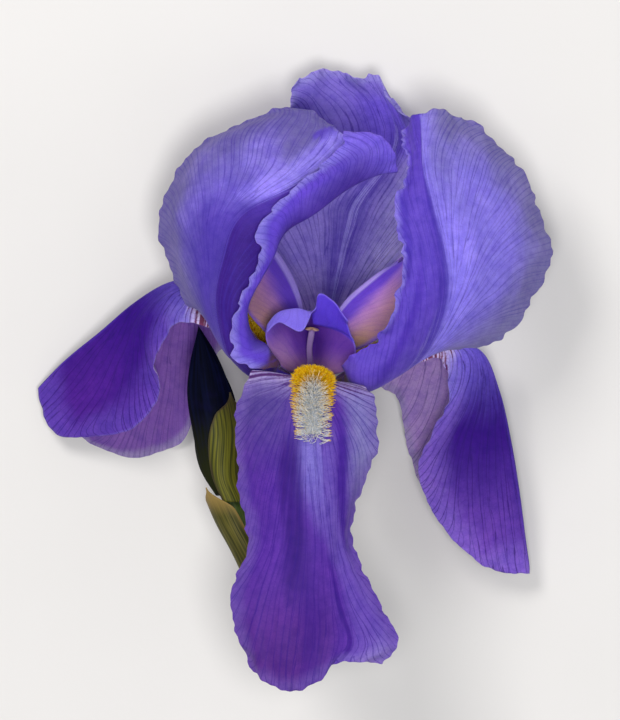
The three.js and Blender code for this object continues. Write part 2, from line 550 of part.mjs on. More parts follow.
// ---- leafy sheaths round a stem ----
// A sheath wraps the curve through stations at their radii, between two angles about
// that curve, and narrows towards its tip.
function sheath(stations, fromTurn, toTurn, [across, along], narrowing) {
  const points = [];
  for (let i = 0; i <= along; i += 1) {
    const s = i / along;
    const centre = alongCurve(stations, s, asVector);
    const radius = alongCurve(stations, s, (p) => new THREE.Vector3(p[3], 0, 0)).x;
    const spread = (toTurn - fromTurn) * (1 - narrowing * s ** 3);
    const row = [];
    for (let j = 0; j <= across; j += 1) {
      const turn = (fromTurn + toTurn) / 2 + spread * (j / across - 0.5);
      const out = new THREE.Vector3(Math.sin(turn), 0, Math.cos(turn));
      row.push(centre.clone().addScaledVector(out, radius));
    }
    points.push(row);
  }
  return closedSheet(points, () => SHEATH_THICKNESS);
}

const group = new THREE.Group();

function place(name, geometry, colour, roughness) {
  geometry.translate(-CENTRE_X, -CENTRE_Y, -LOWEST_Z);
  geometry.computeVertexNormals();
  const material = new THREE.MeshStandardMaterial({ color: colour, roughness, metalness: 0 });
  const mesh = new THREE.Mesh(geometry, material);
  mesh.name = name;
  group.add(mesh);
}

// ---- the petals ----
place('standard_left', petal(STANDARD_LEFT, STANDARD_GRID, 0.34,
  { height: 0.5, waves: 6, phase: 0.1, tipHeight: 0.3, tipWaves: 3 }), COLOURS.standard, 0.6);
place('standard_right', petal(STANDARD_RIGHT, STANDARD_GRID, 0.6,
  { height: 0.6, waves: 6, phase: 0.3, tipHeight: 0.5, tipWaves: 3 }), COLOURS.standard, 0.6);
place('standard_back', petal(STANDARD_BACK, STANDARD_GRID, 0.5,
  { height: 0.9, waves: 5, phase: 0.6, tipHeight: 1.0, tipWaves: 3 }), COLOURS.standard, 0.6);
place('fall_front', petal(FALL_FRONT, FALL_GRID, 0.5,
  { height: 0.6, waves: 5, phase: 0.2, tipHeight: 0.5, tipWaves: 3 }), COLOURS.fall, 0.6);
place('fall_left', petal(FALL_LEFT, FALL_GRID, 0.5,
  { height: 0.5, waves: 5, phase: 0.5, tipHeight: 0.4, tipWaves: 3 }), COLOURS.fall, 0.6);
place('fall_right', petal(FALL_RIGHT, FALL_GRID, 0.5,
  { height: 0.5, waves: 5, phase: 0.8, tipHeight: 0.4, tipWaves: 3 }), COLOURS.fall, 0.6);

// ---- the beards ----
place('beard_front', beard(FALL_FRONT,
  { face: -1, from: 0.17, to: 0.5, halfWidth: 2.2, seed: 11 }), COLOURS.beard, 0.8);
place('beard_left', beard(FALL_LEFT,
  { face: 1, from: 0.13, to: 0.36, halfWidth: 1.8, seed: 23 }), COLOURS.beard, 0.8);
place('beard_right', beard(FALL_RIGHT,
  { face: -1, from: 0.13, to: 0.34, halfWidth: 1.8, seed: 37 }), COLOURS.beard, 0.8);

// ---- the style arms with their crests ----
const NO_WAVES = { height: 0, waves: 0, phase: 0, tipHeight: 0, tipWaves: 0 };
place('style_arm_front', petal(STYLE_FRONT, STYLE_GRID, 0.5, NO_WAVES), COLOURS.style, 0.6);
place('style_arm_left', petal(STYLE_LEFT, STYLE_GRID, 0.5, NO_WAVES), COLOURS.style, 0.6);
place('style_arm_right', petal(STYLE_RIGHT, STYLE_GRID, 0.5, NO_WAVES), COLOURS.style, 0.6);

// ---- the stamens, between each style arm and its fall ----
const STAMEN_STEPS = 8;
const STAMEN_SIDES = 6;
const STAMEN_FRONT = [[4.6, 0.2, 5.2, 0.7], [4.1, 2.4, 8.8, 0.9], [3.6, 7.0, 12.0, 0.9],
  [4.1, 11.0, 14.4, 1.1], [4.3, 12.6, 15.2, 0.8]];
const STAMEN_LEFT = [[1.4, 0.8, -1.7, 0.6], [-1.3, 6.6, -2.6, 0.7], [-4.6, 12.4, -4.0, 0.7],
  [-7.8, 18.0, -5.6, 0.9], [-9.0, 19.8, -6.4, 0.7]];
const STAMEN_RIGHT = [[8.6, 0.8, -1.6, 0.6], [11.2, 5.6, -2.4, 0.6], [14.4, 10.4, -4.0, 0.7],
  [18.0, 14.8, -5.8, 0.9], [19.2, 16.0, -6.6, 0.7]];
place('stamen_front', roundBody(STAMEN_FRONT, STAMEN_STEPS, STAMEN_SIDES), COLOURS.stamen, 0.6);
place('stamen_left', roundBody(STAMEN_LEFT, STAMEN_STEPS, STAMEN_SIDES), COLOURS.stamen, 0.6);
place('stamen_right', roundBody(STAMEN_RIGHT, STAMEN_STEPS, STAMEN_SIDES), COLOURS.stamen, 0.6);

// ---- tube, ovary and stem ----
const TUBE = [[AXIS_X, -16.0, 0, 2.4], [AXIS_X, -10.0, 0, 2.6], [AXIS_X, -6.0, 0, 3.6],
  [AXIS_X, TUBE_TOP_Y, 0, 5.2]];
place('perianth_tube', roundBody(TUBE, 6, 12), COLOURS.tube, 0.55);
const OVARY = [[5.4, -33.7, -0.4, 2.8], [5.2, -28.0, -0.2, 3.9], [5.0, -22.0, 0, 3.9],
  [AXIS_X, -16.4, 0, 2.7]];
place('ovary', roundBody(OVARY, 8, 12, 0.09), COLOURS.ovary, 0.5);
const STEM = [[9.2, -69.4, -2.4, STEM_RADIUS], [8.8, -62.0, -2.1, STEM_RADIUS], [7.4, -50.0, -1.4, 3.0],
  [5.6, -34.4, -0.4, 2.8]];
const BRANCH = [[8.6, -65.2, -2.4, BRANCH_RADIUS], [1.0, -60.0, -3.4, BRANCH_RADIUS],
  [-7.6, -52.0, -5.0, 2.6], [-13.0, -40.0, -7.0, 2.8], [-16.4, -30.4, -8.6, 3.2]];
place('stem', joined([roundBody(STEM, 8, 10), roundBody(BRANCH, 10, 10)]), COLOURS.stem, 0.5);

// ---- the spathe valves round the ovary ----
const SPATHE_INNER = [[7.0, -46.5, -1.2, 3.8], [5.6, -36.0, -0.4, 5.0], [5.0, -24.0, 0, 5.6],
  [5.0, -11.0, 0, 4.6]];
place('spathe_inner', sheath(SPATHE_INNER, 2.3, 5.6, [9, 9], 0.7), COLOURS.spathe, 0.6);
const SPATHE_OUTER = [[7.9, -54.5, -1.7, 3.9], [6.9, -46.0, -1.1, 5.5], [5.9, -38.0, -0.4, 6.3],
  [5.0, -24.0, 0, 7.0], [5.4, -8.0, 0, 5.8]];
place('spathe_outer', sheath(SPATHE_OUTER, -0.9, 2.5, [9, 9], 0.8), COLOURS.spathe, 0.6);

// ---- the bud on its branch ----
const BUD = [[-17.2, -28.6, -9.0, 2.8], [-19.4, -21.0, -10.4, 4.8], [-20.3, -11.0, -11.8, 6.0],
  [-21.6, -3.0, -13.0, 5.6], [-22.8, 5.0, -14.4, 3.4], [-24.2, 13.0, -15.6, 0.02]];
place('bud', roundBody(BUD, 12, 14), COLOURS.bud, 0.45);
const BUD_SPATHE = [[-15.6, -31.0, -8.0, 4.2], [-18.6, -24.0, -9.6, 5.0], [-20.0, -13.0, -11.2, 7.0],
  [-21.5, -3.6, -12.6, 7.1]];
place('bud_spathe', sheath(BUD_SPATHE, -0.55, 2.2, [9, 9], 0.9), COLOURS.spathe, 0.6);
const DRY_BRACT = [[-9.4, -48.4, -5.5, 4.0], [-12.0, -42.4, -6.6, 4.4], [-14.8, -36.0, -7.8, 5.0],
  [-17.2, -27.4, -9.2, 6.5]];
place('bud_bract_dry', sheath(DRY_BRACT, -2.4, 0.6, [7, 8], 0.6), COLOURS.dry, 0.8);

export default group;
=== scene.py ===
"""Bearded iris flower, cut from the plant and laid on its back.

The petals, beards, style arms, stamens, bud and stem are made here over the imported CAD
part and stand for its solids. Lengths are metres, except in the tables of rows, which are
millimetres on the flower's own axis, as in the part's source.
"""

import math

import bpy
import numpy as np
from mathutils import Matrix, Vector


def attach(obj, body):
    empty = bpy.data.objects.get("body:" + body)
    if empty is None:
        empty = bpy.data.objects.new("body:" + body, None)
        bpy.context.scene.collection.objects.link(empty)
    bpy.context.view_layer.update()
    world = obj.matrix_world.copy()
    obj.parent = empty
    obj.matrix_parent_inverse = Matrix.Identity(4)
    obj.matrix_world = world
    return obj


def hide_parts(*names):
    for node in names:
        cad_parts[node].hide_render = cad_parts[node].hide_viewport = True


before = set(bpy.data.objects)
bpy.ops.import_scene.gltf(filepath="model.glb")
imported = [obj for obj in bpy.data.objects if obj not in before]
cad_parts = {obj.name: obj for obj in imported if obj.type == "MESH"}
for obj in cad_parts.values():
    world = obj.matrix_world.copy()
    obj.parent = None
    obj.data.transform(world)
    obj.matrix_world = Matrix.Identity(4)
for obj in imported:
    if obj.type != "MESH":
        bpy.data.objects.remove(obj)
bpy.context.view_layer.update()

MM = 0.001
LIFT = np.array([0.4, 0.1, 39.0])     # from the tables' axis to the frame's origin
TURN = 2 * math.pi

# ---- petals, each a list of rows from claw to tip, each row from margin to margin ----
STANDARD_LEFT = [
    [[0.2, -0.5, 0.6], [0.6, -0.8, 1.1], [0.9, -1, 1.7], [1.2, -1, 2.3], [1.5, -0.9, 2.9],
     [1.8, -0.7, 3.4], [2.1, -0.5, 3.9]],
    [[-5.2, 2.6, 0.5], [-5.6, 0.2, 2.6], [-5.8, -1.3, 4.8], [-5.6, -1.4, 6.8], [-5, -0.4, 8.6],
     [-4.5, 0.8, 9.8], [-4, 2, 10.8]],
    [[-12, 8, 0.2], [-12.4, 3.8, 4.6], [-11.4, 0.8, 9], [-8.8, 1.6, 12.2], [-5.8, 3.6, 14.6],
     [-4.2, 4.2, 16.4], [-3.8, 3.2, 18]],
    [[-18, 12.5, -1], [-17.4, 8.6, 5.4], [-15.4, 4.4, 12], [-12, 5.2, 15.2], [-7.4, 8.2, 16.4],
     [-6.6, 5.4, 18.6], [-9.6, 2.4, 20]],
    [[-22, 15.5, -2], [-20.8, 12, 6], [-17.8, 8, 14], [-14.4, 8.8, 17], [-10.6, 10.8, 17.6],
     [-11.3, 7.6, 20.4], [-15.4, 5.8, 21.2]],
    [[-26.8, 19, -5], [-24.4, 19.5, 7], [-20, 19.5, 16.5], [-16, 19, 19.2], [-12.2, 18.5, 19.2],
     [-12.1, 17.6, 22], [-14.8, 16.8, 23.4]],
    [[-31.4, 27, -8], [-27, 30, 7.5], [-18.2, 31, 18.5], [-13, 30.5, 20.6], [-6.6, 30, 19.6],
     [-6.2, 29, 22.4], [-8.9, 28, 24.2]],
    [[-33.8, 38.4, -9], [-27, 40.5, 8], [-15.4, 40, 19], [-10.6, 38.6, 20.6], [-2.6, 36.4, 19.4],
     [-4, 37.4, 22.8], [-9.6, 35.2, 24.6]],
    [[-31.2, 49.4, -8], [-23, 51.6, 7], [-9, 46.4, 17.4], [-4, 43, 18.8], [4.6, 40.8, 17],
     [1, 43.6, 21.6], [-6, 41.6, 23]],
    [[-21.6, 59.4, -5], [-13.8, 60, 6], [0.6, 52.6, 13.4], [6, 49, 14.8], [13.2, 47.2, 13],
     [10.6, 50.8, 18], [2.8, 49.8, 19.8]],
    [[-7.2, 66.5, -1.5], [0.5, 65, 4.5], [8.6, 59, 8.6], [14, 54, 9.6], [20.6, 50.6, 9.4],
     [18.4, 56, 14.8], [10.4, 56.4, 17]],
    [[1.8, 66.8, 0], [6.4, 65.4, 3], [11.6, 61, 6.2], [18, 56, 6.6], [25.6, 51.4, 8], [22.6, 59.6, 12.6],
     [12.8, 61.8, 14.6]],
]

STANDARD_RIGHT = [
    [[8, -0.5, 3.9], [8.3, -0.8, 3.2], [8.7, -1, 2.5], [9.1, -1, 1.9], [9.5, -0.8, 1.2],
     [9.9, -0.5, 0.6]],
    [[12.4, 0.6, 11.6], [13.8, -2.2, 10.2], [15.2, -3.4, 8.2], [16.6, -3.4, 6.2], [17.8, -2, 3.8],
     [18.2, 0.6, 1.2]],
    [[12.2, 3.8, 18], [14.6, 0.6, 19.2], [19, -1.5, 16.8], [24.6, 0.2, 12], [29, 3.2, 6.2],
     [30.4, 7.6, -1.4]],
    [[20.2, 9.6, 22], [22.2, 8.6, 20.6], [25.4, 8.2, 20.2], [31.2, 9.4, 17], [41, 10, 8],
     [49.4, 8.6, -4]],
    [[24.8, 18, 23.4], [27.2, 18.6, 22.2], [30.4, 19.4, 22.2], [36.4, 21, 19.6], [49, 19.4, 9],
     [56.2, 15, -6]],
    [[26.8, 29.6, 22.8], [29.2, 30.6, 21.8], [32, 31.4, 21.8], [37.6, 32, 20.2], [52.4, 33, 9],
     [63.6, 27.8, -8]],
    [[24.8, 42.6, 18.6], [28.4, 42.8, 18.8], [31.4, 43.2, 19.4], [36, 43.4, 18.4], [50.2, 45.4, 8],
     [61, 43.4, -7.5]],
    [[28.2, 52.6, 11.6], [29.6, 53.6, 12.2], [31.2, 54.4, 13.2], [33.4, 55.2, 12.8], [43.6, 57.4, 5.6],
     [53.2, 56, -5]],
    [[26.6, 61.6, 1.6], [28.6, 64.4, 2.6], [30.6, 66, 3.4], [33.6, 66.8, 3.4], [39.6, 66.2, 1],
     [45.4, 62.6, -2.6]],
]

STANDARD_BACK = [
    [[3.1, -0.5, -3.9], [4, -0.7, -4.4], [5, -0.8, -4.6], [6, -0.7, -4.4], [6.9, -0.5, -3.9]],
    [[-0.6, 8, -9.6], [2.6, 7, -11.6], [6.2, 6.6, -12.2], [9.6, 7, -11.4], [12, 8, -9.4]],
    [[-8, 19, -17.6], [-1, 18, -23.4], [9, 17.6, -25.4], [16, 18, -22.6], [20.4, 19, -17]],
    [[-17, 31, -20.4], [-6, 30, -31.4], [11.6, 29.6, -35.6], [22, 30, -29.6], [28.4, 31, -19.6]],
    [[-20.4, 44, -20], [-7, 43.6, -33.4], [14.6, 43, -39.6], [27.4, 43.6, -31.4], [33, 44, -20]],
    [[-15.4, 57, -19], [-4, 57.2, -30.4], [17, 56.6, -35.6], [28.6, 56.6, -29], [33.4, 55.6, -20.4]],
    [[-2.6, 67, -19.6], [4.6, 68.8, -26.6], [17.4, 69.2, -28.6], [25, 67, -25.8], [30.2, 63.8, -21]],
    [[0.4, 74.2, -20.6], [6, 77.6, -23], [13.8, 76, -24], [20.4, 75.5, -23.6], [25.6, 68.2, -21.8]],
]

FALL_FRONT = [
    [[3.1, -1.6, 4.4], [3.8, -1.9, 4.6], [4.4, -2.1, 4.7], [5, -2.2, 4.7], [5.6, -2.1, 4.7],
     [6.2, -1.9, 4.6], [6.9, -1.6, 4.4]],
    [[-0.8, -2, 12], [0.8, -3.4, 12], [2.8, -4.2, 12], [5, -4.4, 12], [7.2, -4.2, 12], [9.2, -3.4, 12],
     [10.8, -2.4, 12]],
    [[-7, 0.5, 18.2], [-3.4, -0.8, 19.4], [1, -2, 20], [4.8, -2.2, 20.2], [8.6, -2, 20],
     [12, -1.6, 19.4], [14.6, -1.8, 18.6]],
    [[-11, 1.4, 22.2], [-6.4, 1.3, 24.6], [-0.2, 0.2, 26.6], [4.6, -0.4, 27.2], [9.4, -1, 26.6],
     [14.2, -1.8, 24.4], [18, -3, 22.2]],
    [[-13.4, -4.4, 22.6], [-9, -4.6, 26.4], [-2.6, -5.6, 30.2], [4.4, -6.2, 31.2], [10.6, -6.2, 30.2],
     [16, -5.8, 26.8], [20.2, -6, 23.4]],
    [[-15, -14.2, 22.6], [-10.4, -15, 27.8], [-3, -16, 32], [4.6, -16.6, 33.2], [11.6, -16.6, 31.6],
     [17, -16.2, 27.6], [20.2, -15.8, 23.4]],
    [[-14, -26, 24.2], [-9.6, -27, 28.8], [-2.6, -28, 32.6], [5.4, -28.2, 33.8], [11.2, -28.2, 31.4],
     [14.8, -28.2, 27.6], [17, -28, 23.4]],
    [[-11.8, -40.2, 27.2], [-8, -40.2, 30.4], [-1.6, -40.2, 33], [6.6, -40.2, 33.4], [10.2, -40.2, 31],
     [12.4, -40, 28.2], [13.7, -39.6, 25.4]],
    [[-15.8, -53, 28.4], [-10, -53, 31.4], [-2.4, -53, 32.6], [7.2, -53.2, 31.8], [12, -53.2, 31.2],
     [16.4, -53.2, 29.2], [20, -53, 27.4]],
    [[-14.1, -65.2, 29.4], [-9, -66, 32], [-2, -66, 31.2], [7.4, -64.4, 28.8], [13.6, -64.6, 30],
     [20, -65, 29.4], [25.6, -65.4, 27.8]],
    [[-11.4, -71.8, 29], [-6.6, -75.8, 31], [-1, -77.8, 29.8], [5.6, -75.6, 27.6], [9.4, -71.4, 28],
     [14.4, -70.4, 28.8], [21.8, -71, 27.6]],
]

FALL_LEFT = [
    [[0.2, -1.6, -0.6], [0.5, -1.9, -1.2], [0.8, -2.1, -1.8], [1, -2.2, -2.3], [1.3, -2.1, -2.8],
     [1.7, -1.9, -3.4], [2.1, -1.6, -3.9]],
    [[-8.6, 4.6, -1.8], [-7.9, 5.7, -3.6], [-7.2, 6.8, -5.6], [-6.6, 6.8, -7], [-5.6, 6.6, -8.6],
     [-4.4, 5.4, -10.4], [-3.2, 4, -12]],
    [[-15.4, 9, -4.8], [-14.4, 11.8, -6.6], [-13.2, 13.8, -8.6], [-12.4, 14.2, -10.2],
     [-11.4, 13.6, -12.2], [-10, 10.8, -14.8], [-9, 7.4, -16.8]],
    [[-21.4, 12.6, -8], [-20.7, 16.7, -9.8], [-20, 19.6, -12], [-19.4, 20.4, -14.2], [-18.8, 19, -17],
     [-17.4, 14.4, -20], [-16, 8.2, -22.2]],
    [[-26.4, 13.8, -10.2], [-26.4, 17.8, -12], [-26.4, 21.8, -14.6], [-26.8, 24.2, -17.6],
     [-25, 21.6, -21.6], [-22.2, 14, -25.4], [-20, 5.4, -27.4]],
    [[-31.4, 12.4, -12], [-32, 16.4, -14.2], [-32.2, 20.8, -17.4], [-32.6, 23.4, -20.8],
     [-29.8, 18, -25.8], [-26.2, 8, -30], [-23.6, -3.4, -31.6]],
    [[-34.8, 4.2, -14.6], [-36.6, 10.2, -17], [-38.6, 15.6, -20.6], [-40.6, 18.4, -24.2],
     [-36.2, 9.6, -29.8], [-31.2, -2.4, -33.8], [-27.6, -15, -35.6]],
    [[-34.4, -4.6, -17.4], [-38.6, 1.2, -19.6], [-43.6, 7.4, -23.2], [-49.2, 11.2, -27.4], [-44, 2, -33],
     [-38.6, -9.4, -36.8], [-34.2, -18.8, -38.8]],
    [[-40.8, -12.8, -22.6], [-45.6, -6.6, -24.2], [-51.2, -0.6, -27.4], [-57.8, 4.2, -31.6],
     [-52.4, -4.4, -35.8], [-46.8, -13.4, -37.8], [-42.6, -20, -39.6]],
    [[-52.4, -15.2, -29], [-59.4, -14.6, -31.8], [-63.4, -9.4, -34], [-64.8, -2.8, -35.4],
     [-61, -8, -37.4], [-56, -13.2, -37.6], [-51.6, -16.6, -38.2]],
]

FALL_RIGHT = [
    [[9.9, -1.6, -0.6], [9.6, -1.9, -1.2], [9.3, -2.1, -1.8], [9, -2.2, -2.3], [8.7, -2.1, -2.8],
     [8.3, -1.9, -3.4], [7.9, -1.6, -3.9]],
    [[17.8, 1.8, -2], [17.4, 2.9, -3.8], [17, 3.8, -5.6], [16.6, 3.8, -7], [15.6, 3.4, -8.6],
     [14.4, 2.6, -10.4], [13.2, 1.6, -12]],
    [[25.2, 2.2, -5.2], [24.5, 4.8, -7], [23.4, 6.6, -9], [22.6, 7, -10.6], [21.2, 6, -13],
     [19.2, 3.4, -15.6], [17.4, 0.4, -17.6]],
    [[31.5, 3.8, -8.2], [31.1, 6.8, -10], [30.4, 8.8, -12.2], [29.8, 9.4, -14.4], [27.8, 8, -17.6],
     [24.6, 3.2, -20.8], [21.6, -2.4, -22.8]],
    [[37, 4.6, -11], [37.6, 7, -12.6], [38, 8.8, -15], [38.6, 9.2, -18.2], [35.2, 6.6, -22.4],
     [30, 0.8, -25.8], [26, -5.4, -27.8]],
    [[38.4, -3.4, -13], [41.6, 1, -15], [44.6, 4.8, -18], [47, 6.1, -21.6], [43, 0.8, -27],
     [34.4, -7, -31.2], [27.4, -13.4, -33]],
    [[36.4, -10.6, -14.8], [41, -7.2, -16.6], [46.2, -4.8, -20], [51.2, -3.6, -24.2], [46.2, -8, -30.2],
     [37.2, -14.2, -35], [29.2, -20.4, -37]],
    [[31, -20.8, -16.6], [37.4, -18.2, -18], [46, -16.6, -21.2], [54, -16, -26], [48.8, -20, -32],
     [40.2, -24.6, -36.6], [31.8, -27, -38.9]],
    [[32.2, -28.6, -18.8], [39.6, -28.4, -20.2], [48.2, -28.8, -23.4], [56.2, -29, -28],
     [50.6, -32.2, -33.2], [43.6, -34.8, -37.2], [38.4, -36.6, -39.6]],
    [[38, -38.8, -22], [45, -38.8, -23.8], [51.6, -39.8, -26.6], [58, -41, -30.4], [53.6, -42.2, -34.4],
     [49, -42.4, -36.8], [45.4, -42.4, -38.2]],
    [[47, -47.2, -26.6], [50.8, -48.6, -27.8], [54.8, -49.3, -29.4], [59.6, -49.2, -31.4],
     [56.8, -47.8, -33.8], [54, -46.8, -35.8], [51.4, -46, -37.4]],
]

STYLE_FRONT = [
    [[3.2, 0.8, 2.6], [3.8, 0.7, 2.8], [4.4, 0.6, 2.9], [5, 0.5, 3], [5.6, 0.6, 2.9], [6.2, 0.7, 2.8],
     [6.8, 0.8, 2.6]],
    [[-2.5, 2.2, 7.4], [-0.3, 2.6, 6.8], [2.2, 3.1, 5.9], [4.9, 3.5, 5.4], [7.6, 3.1, 5.9],
     [10.2, 2.4, 6.8], [12.4, 1.8, 7.6]],
    [[-6.2, 6.4, 10.6], [-3.4, 7.4, 9.8], [0.6, 8.4, 8.9], [4.6, 8.8, 8.4], [8.6, 8.5, 8.9],
     [12.4, 7.6, 9.8], [15.2, 6.2, 10.6]],
    [[-7.4, 11, 12.2], [-4.4, 12, 11.8], [0, 13, 11.4], [4.4, 13.4, 10.9], [8.6, 13, 11.6],
     [12.2, 12.2, 12], [14.2, 10.8, 12.2]],
    [[-6.8, 13.2, 13.4], [-4, 16.2, 13.4], [0.4, 17.2, 13.2], [4.2, 16.2, 12], [7, 16.6, 13.2],
     [10.6, 16, 13.6], [13.4, 13.4, 13.4]],
    [[-7, 11.6, 15.2], [-3.8, 13.8, 16.2], [1.5, 11.6, 16.8], [4.3, 16.6, 13.8], [6.1, 21.2, 14.2],
     [10.2, 18.9, 14.9], [13.6, 14.4, 15.1]],
]

STYLE_LEFT = [
    [[3.2, 1, 0.8], [2.8, 1.6, 0], [2.4, 2.4, -1.4], [3, 1.6, -2.4], [3.6, 1, -3]],
    [[-2.8, 6.6, 3.4], [-0.2, 10, 1.4], [2.2, 12.4, -2], [0.6, 9.2, -5], [0.2, 6.6, -7]],
    [[-8, 12, 2.6], [-4.6, 16.8, 1], [0.8, 21, -4], [-1.8, 16.8, -8], [-3.6, 13.4, -10]],
    [[-12.6, 17.6, 0.4], [-8.8, 23.2, -1.4], [-2.2, 27.8, -6.6], [-5.6, 23.2, -11], [-8.2, 19.6, -13.4]],
    [[-14.6, 25, -2.4], [-12, 29.6, -3.6], [-6.6, 33.6, -9], [-9.6, 29.4, -13.6], [-12.4, 25.2, -16]],
    [[-16.6, 29.6, -3.6], [-15.4, 35.8, -5], [-11.6, 34.6, -10.4], [-14, 35.8, -15], [-15.6, 30, -17.4]],
]

STYLE_RIGHT = [
    [[6.8, 1, 0.8], [7.2, 1.6, 0], [7.6, 2.4, -1.4], [7, 1.6, -2.4], [6.4, 1, -3]],
    [[13.6, 6, 3.4], [11.2, 9.6, 1.4], [9, 12.4, -2], [9.8, 8.8, -5], [10.2, 6.2, -7]],
    [[18.8, 8.6, 2.6], [16, 14.2, 1], [12.6, 18.8, -4], [13.6, 14.6, -8], [15, 11, -10]],
    [[23.4, 11.8, 0.4], [20.6, 18.4, -1.4], [17, 23, -6.6], [18, 18.6, -11], [20, 15.2, -13.4]],
    [[27, 16.6, -2], [24.6, 22.8, -3.6], [21.6, 26.6, -9], [22.4, 23, -13.6], [24.2, 19.4, -16]],
    [[28.6, 22.4, -3.6], [28.6, 29.4, -5], [25.8, 28.6, -10.4], [27, 30.2, -15], [28.2, 24.2, -17.4]],
]


# ---- smooth sheets over the rows ----
def curve_weights(t):
    """Weights of the four points around t on a curve that passes through its points."""
    return np.stack([
        ((2 - t) * t - 1) * t / 2,
        ((3 * t - 5) * t * t + 2) / 2,
        ((4 - 3 * t) * t + 1) * t / 2,
        (t - 1) * t * t / 2,
    ], -1)


def carried_on(points):
    """The list of points with one more at each end, in a straight line."""
    return np.concatenate([2 * points[:1] - points[1:2], points, 2 * points[-1:] - points[-2:-1]])


def split(s, count):
    """The piece of a curve of count points that holds s, and the place of s in it."""
    span = s * (count - 1)
    start = np.clip(np.floor(span), 0, count - 2).astype(int)
    return start, curve_weights(span - start)


def on_curve(points, s):
    points = np.array(points, float)
    start, weights = split(np.asarray(s, float), len(points))
    points = carried_on(points)
    return sum(weights[..., k, None] * points[start + k] for k in range(4))


def on_sheet(rows, u, v):
    """Points of the sheet, u across from margin to margin and v from claw to tip."""
    grid = np.array(rows, float)
    start_v, weights_v = split(v, grid.shape[0])
    start_u, weights_u = split(u, grid.shape[1])
    grid = carried_on(grid)
    grid = carried_on(grid.swapaxes(0, 1)).swapaxes(0, 1)
    total = 0
    for i in range(4):
        for j in range(4):
            weight = weights_v[..., i] * weights_u[..., j]
            total = total + weight[..., None] * grid[start_v + i, start_u + j]
    return total


def unit(vectors):
    return vectors / np.maximum(np.linalg.norm(vectors, axis=-1, keepdims=True), 1e-9)


def normals_of(points):
    return unit(np.cross(np.gradient(points, axis=1), np.gradient(points, axis=0)))


def lengths_along(points, axis):
    """Distance run along each line of the grid, from its first point."""
    steps = np.linalg.norm(np.diff(points, axis=axis), axis=-1)
    first = np.zeros_like(np.take(steps, [0], axis=axis))
    return np.concatenate([first, np.cumsum(steps, axis=axis)], axis=axis)


def waves(s, lengths, seed):
    """A sum of waves of these lengths in mm, with phases of its own, between -1 and 1."""
    phases = np.random.default_rng(seed).uniform(0, TURN, len(lengths))
    total = sum(np.sin(TURN * s / length + phase) for length, phase in zip(lengths, phases))
    return total / len(lengths)


def dense_at_margins(count, share=0.6):
    """count + 1 values from 0 to 1 that lie closer together at both ends."""
    t = np.linspace(0, 1, count + 1)
    return (1 - share) * t + share * (0.5 - 0.5 * np.cos(math.pi * t))


def eased(value, low, high):
    t = np.clip((value - low) / (high - low), 0, 1)
    return t * t * (3 - 2 * t)


# ---- closed meshes ----
def new_mesh(name, vertices, faces, values=None):
    """A smooth mesh from points in millimetres, with its values kept as point attributes."""
    mesh = bpy.data.meshes.new(name)
    mesh.from_pydata((vertices * MM).tolist(), [], faces)
    for key, value in (values or {}).items():
        layer = mesh.attributes.new(key, "FLOAT_VECTOR", "POINT")
        layer.data.foreach_set("vector", np.ascontiguousarray(value, np.float32).ravel())
    mesh.polygons.foreach_set("use_smooth", np.ones(len(mesh.polygons), bool))
    mesh.update()
    piece = bpy.data.objects.new(name, mesh)
    bpy.context.collection.objects.link(piece)
    return piece


def sheet_faces(rows, columns):
    """Faces of a closed sheet: its front, its back turned over, and the rim between them."""
    at = np.arange(rows * columns).reshape(rows, columns)
    front = np.stack([at[:-1, :-1], at[:-1, 1:], at[1:, 1:], at[1:, :-1]], -1).reshape(-1, 4)
    back = front[:, ::-1] + rows * columns
    ring = np.concatenate([at[0, :-1], at[:-1, -1], at[-1, :0:-1], at[:0:-1, 0]])
    ahead = np.roll(ring, -1)
    rim = np.stack([ahead, ring, ring + rows * columns, ahead + rows * columns], -1)
    return np.concatenate([front, back, rim]).tolist()


def shell(name, points, half, front, back):
    """A closed sheet round a grid of middle points; half is its half thickness, and front
    and back are the values on its two faces, the front being the one its normals leave."""
    normals = normals_of(points)
    sides = []
    for sign in (1, -1):
        side = points + normals * half[..., None] * sign + LIFT
        side[..., 2] = np.maximum(side[..., 2], 0.0)
        sides.append(side.reshape(-1, 3))
    values = {key: np.concatenate([front[key].reshape(-1, 3), back[key].reshape(-1, 3)])
              for key in front}
    return new_mesh(name, np.concatenate(sides), sheet_faces(*points.shape[:2]), values)


def petal_veins(points, across, along, bend, flare, per_side, haft):
    """The vein coordinate, which grows by one from vein to vein, and its spacing in mm.
    The veins leave the claw together and turn away from the midrib to meet the margin.
    Below the haft's share of the length they turn off almost square to the midrib."""
    quarter = np.where(across < 0, flare[0], flare[1]) * TURN / 4
    vein = per_side * np.sin(quarter * across) / np.sin(quarter) * np.exp(bend * (1 - along))
    vein = vein * (1 + (haft / np.maximum(along, 0.12)) ** 8)
    along_step, across_step = np.gradient(points, axis=0), np.gradient(points, axis=1)
    vein_along, vein_across = np.gradient(vein, axis=0), np.gradient(vein, axis=1)
    e = (across_step ** 2).sum(-1)
    f = (across_step * along_step).sum(-1)
    g = (along_step ** 2).sum(-1)
    area = np.maximum(e * g - f * f, 1e-9)
    slope = (g * vein_across ** 2 - 2 * f * vein_across * vein_along + e * vein_along ** 2) / area
    spacing = 1 / np.sqrt(np.maximum(slope, 1e-6))
    return vein, np.clip(spacing, 0.0005, 4)


FRILL_WAVES = (3.7, 5.9, 9.7)          # mm, along the margin
NOTCH_WAVES = (2.9, 5.3, 8.3, 12.0)
BITE_WAVES = (5.3, 8.7)
FRILL_REACH = 2.2                      # mm, in from the margin
NOTCH_REACH = 1.6
THIN_REACH = 0.8


